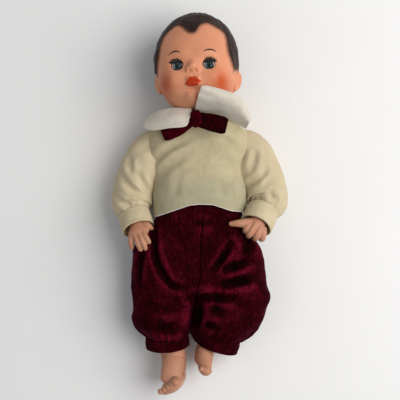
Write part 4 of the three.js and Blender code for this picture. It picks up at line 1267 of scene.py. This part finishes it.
def make_sleeve(name):
    side = SIDES[name]
    sleeve, u, v = new_grid(f"velour_sleeve_{name}", 150, 150)
    set_points(sleeve, path_rings(SLEEVES[name], u, v, start=(side, 0, 0)))
    gather = gathers(u, 13, 0.35, 3)
    paint_values(sleeve, "gather", gather * ease(v, 0.5, 0.78) * ease(v, 0.95, 0.86))
    weld(sleeve)
    points = points_of(sleeve)
    above = ease(points[:, 2], 22, 44)
    relief = above * fold_relief(side * points[:, 0], points[:, 1], SLEEVE_FOLDS[name])
    rumple = 0.8 * grain(points, 18, 6 + side) + 0.3 * grain(points, 7, 9 + side)
    push(sleeve, relief + 0.5 * values_of(sleeve, "gather") + rumple)
    apply_modifier(sleeve, "SMOOTH", factor=0.5, iterations=8)
    press_flat(sleeve)
    return cloth(sleeve, velour)


def make_band(name, path, sizes, material, seed):
    """A cuff: a short tube with rolled edges and slight wrinkles."""
    band, u, v = new_grid(name, 140, 36)
    keys = with_radii(path, sizes)
    set_points(band, path_rings(keys, u, v))
    paint_values(band, "rim", np.minimum(v, 1 - v))
    weld(band)
    rim = values_of(band, "rim")
    rolled = 0.5 * hump(rim - 0.07, 0.05) - 0.7 * hump(rim, 0.03)
    push(band, 0.35 * grain(points_of(band), 8, seed) + rolled)
    press_flat(band)
    return cloth(band, material, 2 * CLOTH)


# Collars: the sewn edge, the free edge, the cloth's swell between them, and how round its corners are
COLLARS = {
    "right": (
        [(-9.5, 105, 78), (-28, 105.6, 74.4), (-47, 103.4, 65.6), (-61, 96, 57.6)],
        [(-14, 82.5, 86), (-33, 82, 83.5), (-55, 80, 74.6), (-67.6, 84.6, 64.4)],
        2.8, 0.12,
    ),
    "left": (
        [(-6, 101, 77), (18, 98.2, 75), (38, 90, 68), (53, 82.4, 60.5)],
        [(1.4, 127.8, 114), (27, 122, 107), (48, 114, 92), (59.6, 94, 73)],
        9.4, 0.05,
    ),
}


def make_collar(name):
    sewn, free, puff, rounding = COLLARS[name]
    collar, u, v = new_grid(f"cotton_collar_{name}", 130, 64)
    ends = np.abs(2 * u - 1)
    along = 0.5 + (u - 0.5) * (1 - 0.05 * v**6)
    reach = v * (1 - rounding * ends**9)
    first, last = spline(sewn, along), spline(free, along)
    points = mix(first, last, reach[:, None])
    crease = 1.2 * np.sin(15 * v + 9 * u) * (1 - ease(u, 0, 0.35)) * np.sin(math.pi * v)
    points[:, 2] += puff * np.sin(math.pi * v) + 0.5 * grain(points, 11, 8) + crease
    width = np.linalg.norm(np.array(sewn[-1]) - sewn[0])
    drop = np.linalg.norm(last - first, axis=1)
    set_points(collar, points)
    paint_values(collar, "edge", np.minimum((1 - v) * drop, (1 - ends) / 2 * width))
    weld(collar)
    if normals_of(collar)[:, 2].mean() < 0:
        edit(collar, lambda: bpy.ops.mesh.flip_normals())
    return cloth(collar, cotton, COLLAR_CLOTH)


# Bow tie: its knot, and each loop's reach from the knot, swell and waist
KNOT_PLACE = np.array([-4.4, 92.2, 82.6])
KNOT_SIZE = np.array([7, 10, 5.6])
LOOPS = {
    "right": (np.array([-39.4, -16.6, -16]), 2.6, 0.55),
    "left": (np.array([35, -8.4, 2.4]), 5.2, 0.9),
}
BOW_HALF_WIDTH = 9.2


def make_knot():
    knot = new_ball("velvet_knot", 80, 56)
    points = signed_power(points_of(knot), 0.8) * KNOT_SIZE
    points[:, 0] *= 1 - 0.10 * np.cos(points[:, 1] / 4)
    set_points(knot, KNOT_PLACE + points)
    x, y, _ = points.T
    push(knot, 0.45 * np.sin(1.5 * x + 0.25 * y + 1.2 * np.sin(y / 5)) + 0.4 * grain(points, 5, 3))
    return worn(smooth_shade(knot), velvet_painted_light)


def make_loop(name):
    """A ribbon loop: out from the knot along its under side, and back over the top."""
    reach, swell, waist = LOOPS[name]
    loop, u, v = new_grid(f"velvet_loop_{name}", 48, 150)
    length = np.linalg.norm(reach)
    out = reach / length
    across = unit(np.cross((0, 0, 1), out))
    up = np.cross(out, across)
    turn = 2 * math.pi * v
    along = (1 - np.cos(turn)) / 2
    rounded = np.sqrt(1 - 0.4 * np.clip((along - 0.84) / 0.16, 0, 1) ** 2)
    half = BOW_HALF_WIDTH * mix(waist, 1.06, ease(along, 0, 0.6)) * rounded
    height = -swell * np.sin(turn) * np.abs(np.sin(turn / 2)) ** 0.6
    pleat = 0.9 * np.sin(3.2 * math.pi * (u - 0.5)) * (1 - along) ** 1.4
    sag = -1.2 * (2 * u - 1) ** 2 * along
    points = (
        KNOT_PLACE + out * (length * along)[:, None] + across * (half * (2 * u - 1))[:, None]
        + up * (height + pleat + sag)[:, None]
    )
    points = points + up * (0.6 * grain(points, 7, 12))[:, None]
    set_points(loop, points)
    weld(loop)
    # The right loop takes the painted-light copy of the velvet, the left loop the painted-shade copy
    return cloth(loop, velvet_painted_light if name == "right" else velvet_painted_shade, RIBBON)


# Trousers: each half runs from the middle seam round its side, by height on the doll
SEAMS = {
    "right": [
        (4, 3.3), (-14, 3.3), (-64, -0.2), (-88, -0.2), (-114, -5.7), (-148, -11), (-156, -12),
        (-160, -13.6), (-163.5, -17),
    ],
    "left": [
        (4, 3.6), (-14, 3.6), (-64, 0.1), (-88, 0.1), (-114, -5.6), (-148, -11), (-157, -11.6),
        (-163, -9), (-168, -6),
    ],
}
SIDE_LINES = {
    "right": [
        (4, -46), (-13, -49), (-28, -57), (-54, -77), (-66, -79.4), (-80, -80.6), (-105, -80.6),
        (-128, -79.4), (-138, -80.6), (-148, -78), (-155, -73), (-160, -67), (-163.5, -62),
    ],
    "left": [
        (4, 46), (-13, 49), (-28, 56), (-46, 64), (-64, 74), (-81, 77), (-104, 80.6), (-111, 83),
        (-119, 82), (-128, 78), (-139, 76), (-150, 70), (-158, 63.5), (-163.5, 57.5), (-168, 50),
    ],
}
FRONT_LINE = [
    (4, 64), (-13, 66), (-28, 70), (-54, 71), (-130, 70), (-148, 66.5), (-156, 61), (-162, 56),
    (-168, 49),
]
BACK_LINE = [(4, 0), (-130, 0), (-150, 2.5), (-160, 5.5), (-168, 9.5)]
SEAM_DEPTH = 9
SEAM_SQUARENESS = 30
LEG_ROUNDNESS = 2.3
CROTCH = -92
TROUSER_FOLDS = [
    ([(-53, -24), (-52.4, -60), (-46, -79), (-39, -91), (-30, -98.5), (-12, -103)], 3.4, 3.2),
    ([(-66, -56), (-69, -76), (-71.5, -97)], 3.0, 2.4),
    ([(38, -46), (26, -66), (12.7, -84)], 3.4, 3.0),
    ([(54, -36), (56.4, -52), (54, -68)], 6.0, 2.6),
    ([(60, -66), (46, -74), (24, -81)], 4.2, 3.0),
    ([(22, -98), (34, -96), (50, -92), (66, -89)], 4.6, 3.0),
    ([(-9, -104), (-4.5, -116), (-4, -131), (-7, -152)], 5.5, 3.2),
    ([(-18, -112), (-6, -114), (8, -112.4), (44, -113.4)], 4.2, 3.2),
    ([(12, -122), (20, -127.6), (29, -132)], 4.6, 2.6),
    ([(4, -144), (19.5, -145)], 3.8, 2.2),
    ([(-52, -142), (-38, -148), (-22, -145)], 6.0, 2.0),
    ([(-60, -118), (-45, -126), (-30, -124)], 4.5, 1.0),
    ([(-6, -25), (4, -27), (14, -24)], 4.0, 1.6),
]
# Painted fold shade and crest highlight: the depth of full shade, its spread, the crests' share and its
# strength
FOLD_DEPTH = 2.6
FOLD_SPREAD = 1.3
FOLD_CREST = 2.0
FOLD_SHADE = 0.18
TROUSER_CUFFS = {
    "right": [(-39.4, -160, 30.6), (-39, -166.8, 29), (-38.5, -173.6, 27.2)],
    "left": [(23.6, -161, 30.4), (21.6, -168, 29), (19.4, -175, 27.6)],
}
TROUSER_CUFF_SIZES = [(25.2, 22.2), (26.2, 22.9), (25.6, 22.3)]


def by_height(line, y):
    heights, values = np.array(line).T
    smooth = spline(np.stack([heights, values], axis=1), np.linspace(0, 1, 200))
    return np.interp(-y, -smooth[:, 0], smooth[:, 1])


def make_trouser_half(name):
    side = SIDES[name]
    half, u, v = new_grid(f"velvet_trousers_{name}", 220, 240)
    top, bottom = SEAMS[name][0][0], SEAMS[name][-1][0]
    y = mix(top, bottom, v)
    seam, edge = by_height(SEAMS[name], y), by_height(SIDE_LINES[name], y)
    low, high = by_height(BACK_LINE, y), by_height(FRONT_LINE, y)
    turn = 2 * math.pi * u
    inward = np.cos(turn) * side < 0
    power = np.where(inward, mix(SEAM_SQUARENESS, LEG_ROUNDNESS, ease(-y, 86, 130)), LEG_ROUNDNESS)
    reach = (np.abs(np.cos(turn)) ** power + np.abs(np.sin(turn)) ** power) ** (-1 / power)
    x = (seam + edge) / 2 + np.abs(edge - seam) / 2 * reach * np.cos(turn)
    z = (low + high) / 2 + (high - low) / 2 * reach * np.sin(turn)
    set_points(half, np.stack([x, y, z], axis=1))
    paint_values(half, "gather", gathers(u, 15, 0.4, 4) * ease(v, 0.84, 0.98))
    paint_values(half, "from_seam", np.abs(x - seam))
    weld(half)
    points = points_of(half)
    x, y, z = points.T
    from_seam = values_of(half, "from_seam")
    above = ease(z, 26, 50)
    crumple = 1.6 * grain(points, 24, 5) + 0.9 * grain(points, 11, 7) + 0.35 * grain(points, 5, 8)
    valley, ridge = fold_parts(x, y, TROUSER_FOLDS)
    rumple = 0.9 * values_of(half, "gather") + crumple * (0.35 + 0.65 * above)
    relief = above * (ridge - valley) + rumple
    # Painted shade down the fold valleys and painted highlight on the crests beside them, for the
    # velvet's colour
    hollow, _ = fold_parts(x, y, TROUSER_FOLDS, FOLD_SPREAD)
    shade = above * (FOLD_CREST * ridge - hollow)
    paint_values(half, "pile_lean_and_fold_shade", FOLD_SHADE * np.clip(shade / FOLD_DEPTH, -1, 1))
    push(half, relief * ease(from_seam, 0.5, 7) * ease(-y, 0, 22))
    press_flat(half)
    under_front = z < by_height(FRONT_LINE, y) - SEAM_DEPTH
    cut_away(half, (from_seam < 3) & (z > 5) & under_front & (y > CROTCH))
    return cloth(half, velvet)


# The doll put together
def add_piece(piece, body, slot, *nodes):
    set_points(piece, points_of(piece) + ORIGIN)
    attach(piece, body)
    if nodes:
        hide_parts(*nodes)
    return piece


def bend_piece(piece, first, second, start, end, slot, *nodes):
    set_points(piece, points_of(piece) + ORIGIN)
    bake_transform(piece)
    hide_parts(*nodes)
    return piece


add_piece(worn(smooth_shade(make_head()), skin_head), "head", "skin_vinyl", "head_shell")
eye_pieces = {
    "eyeball": (make_eyeball, "eye_white"), "iris": (make_iris, "iris"), "lens": (make_lens, "lens"),
    "eyelid": (make_lid, "eyelid"), "lashes": (make_lashes, "lashes"),
}
for name in SIDES:
    for node, (make, slot) in eye_pieces.items():
        add_piece(make(name), "eyes", slot, f"{node}_{name}")
    add_piece(make_arm(name), f"{name}_arm", "skin_vinyl", f"arm_{name}")
    add_piece(make_leg(name), f"{name}_leg", "skin_vinyl", f"leg_{name}")

shirt = add_piece(make_shirt(), "torso", "cream_velour", "shirt_body")
for name, side in SIDES.items():
    sleeve = bend_piece(
        make_sleeve(name), "torso", f"{name}_arm", (side * 38, 62, 35), (side * 58, 55, 35),
        "cream_velour", f"sleeve_{name}",
    )
    band = make_band(f"velour_cuff_{name}", CUFFS[name], CUFF_SIZES, velour, 4 + side)
    add_piece(band, f"{name}_arm", "cream_velour", f"sleeve_cuff_{name}")
    collar = add_piece(make_collar(name), "torso", "collar_cotton", f"collar_{name}")
    loop = add_piece(make_loop(name), "torso", "burgundy_velvet", f"bow_loop_{name}")
    half = bend_piece(
        make_trouser_half(name), "torso", f"{name}_leg", (side * 30, -50, 33), (side * 45, -110, 33),
        "burgundy_velvet", f"trouser_leg_{name}", *(["trouser_seat"] if side < 0 else []),
    )
    band = make_band(f"velvet_cuff_{name}", TROUSER_CUFFS[name], TROUSER_CUFF_SIZES, velvet, 7 + side)
    add_piece(band, f"{name}_leg", "burgundy_velvet", f"trouser_cuff_{name}")
add_piece(make_knot(), "torso", "burgundy_velvet", "bow_knot")

kept = {
    "body_shell": skin_limb, "eye_cup_right": cup_plastic, "eye_cup_left": cup_plastic,
    "eye_axle": wire_steel, "eye_weight": dull_lead,
}
for node, material in kept.items():
    worn(frame["nodes"][node], material)


# Floor, light and camera
def add_floor():
    floor = new_shape("floor", "plane", size=6)
    worn(floor, plain_material("pale_floor", (0.90, 0.90, 0.90), (0.93, 0.93, 0.93), 3.0, roughness=0.9))


def add_light(name, place, size, power, colour):
    """A soft square lamp that points at the doll."""
    bpy.ops.object.light_add(type="AREA", location=place)
    lamp = named(bpy.context.object, name)
    lamp.data.size = size
    lamp.data.energy = power
    lamp.data.color = colour
    lamp.rotation_euler = (-Vector(place)).to_track_quat("-Z", "Y").to_euler()


def add_camera():
    bpy.ops.object.camera_add(location=(ORIGIN[0] * MM, ORIGIN[1] * MM, CAMERA_HEIGHT * MM))
    camera = bpy.context.object
    camera.data.lens = CAMERA_LENS
    camera.data.sensor_width = CAMERA_SENSOR
    bpy.context.scene.camera = camera


add_floor()
add_light("key", (1.0, 0.15, 1.2), 1.5, 24.5, (1, 0.98, 0.95))
add_light("fill", (-0.9, -0.3, 1.2), 1.4, 1.8, (0.95, 0.97, 1))
add_camera()

world = bpy.data.worlds.new("room")
world.use_nodes = True
room_light = world.node_tree.nodes["Background"].inputs
room_light["Color"].default_value = (0.95, 0.97, 1, 1)
room_light["Strength"].default_value = 0.27
bpy.context.scene.world = world
bpy.context.scene.view_settings.view_transform = "Standard"
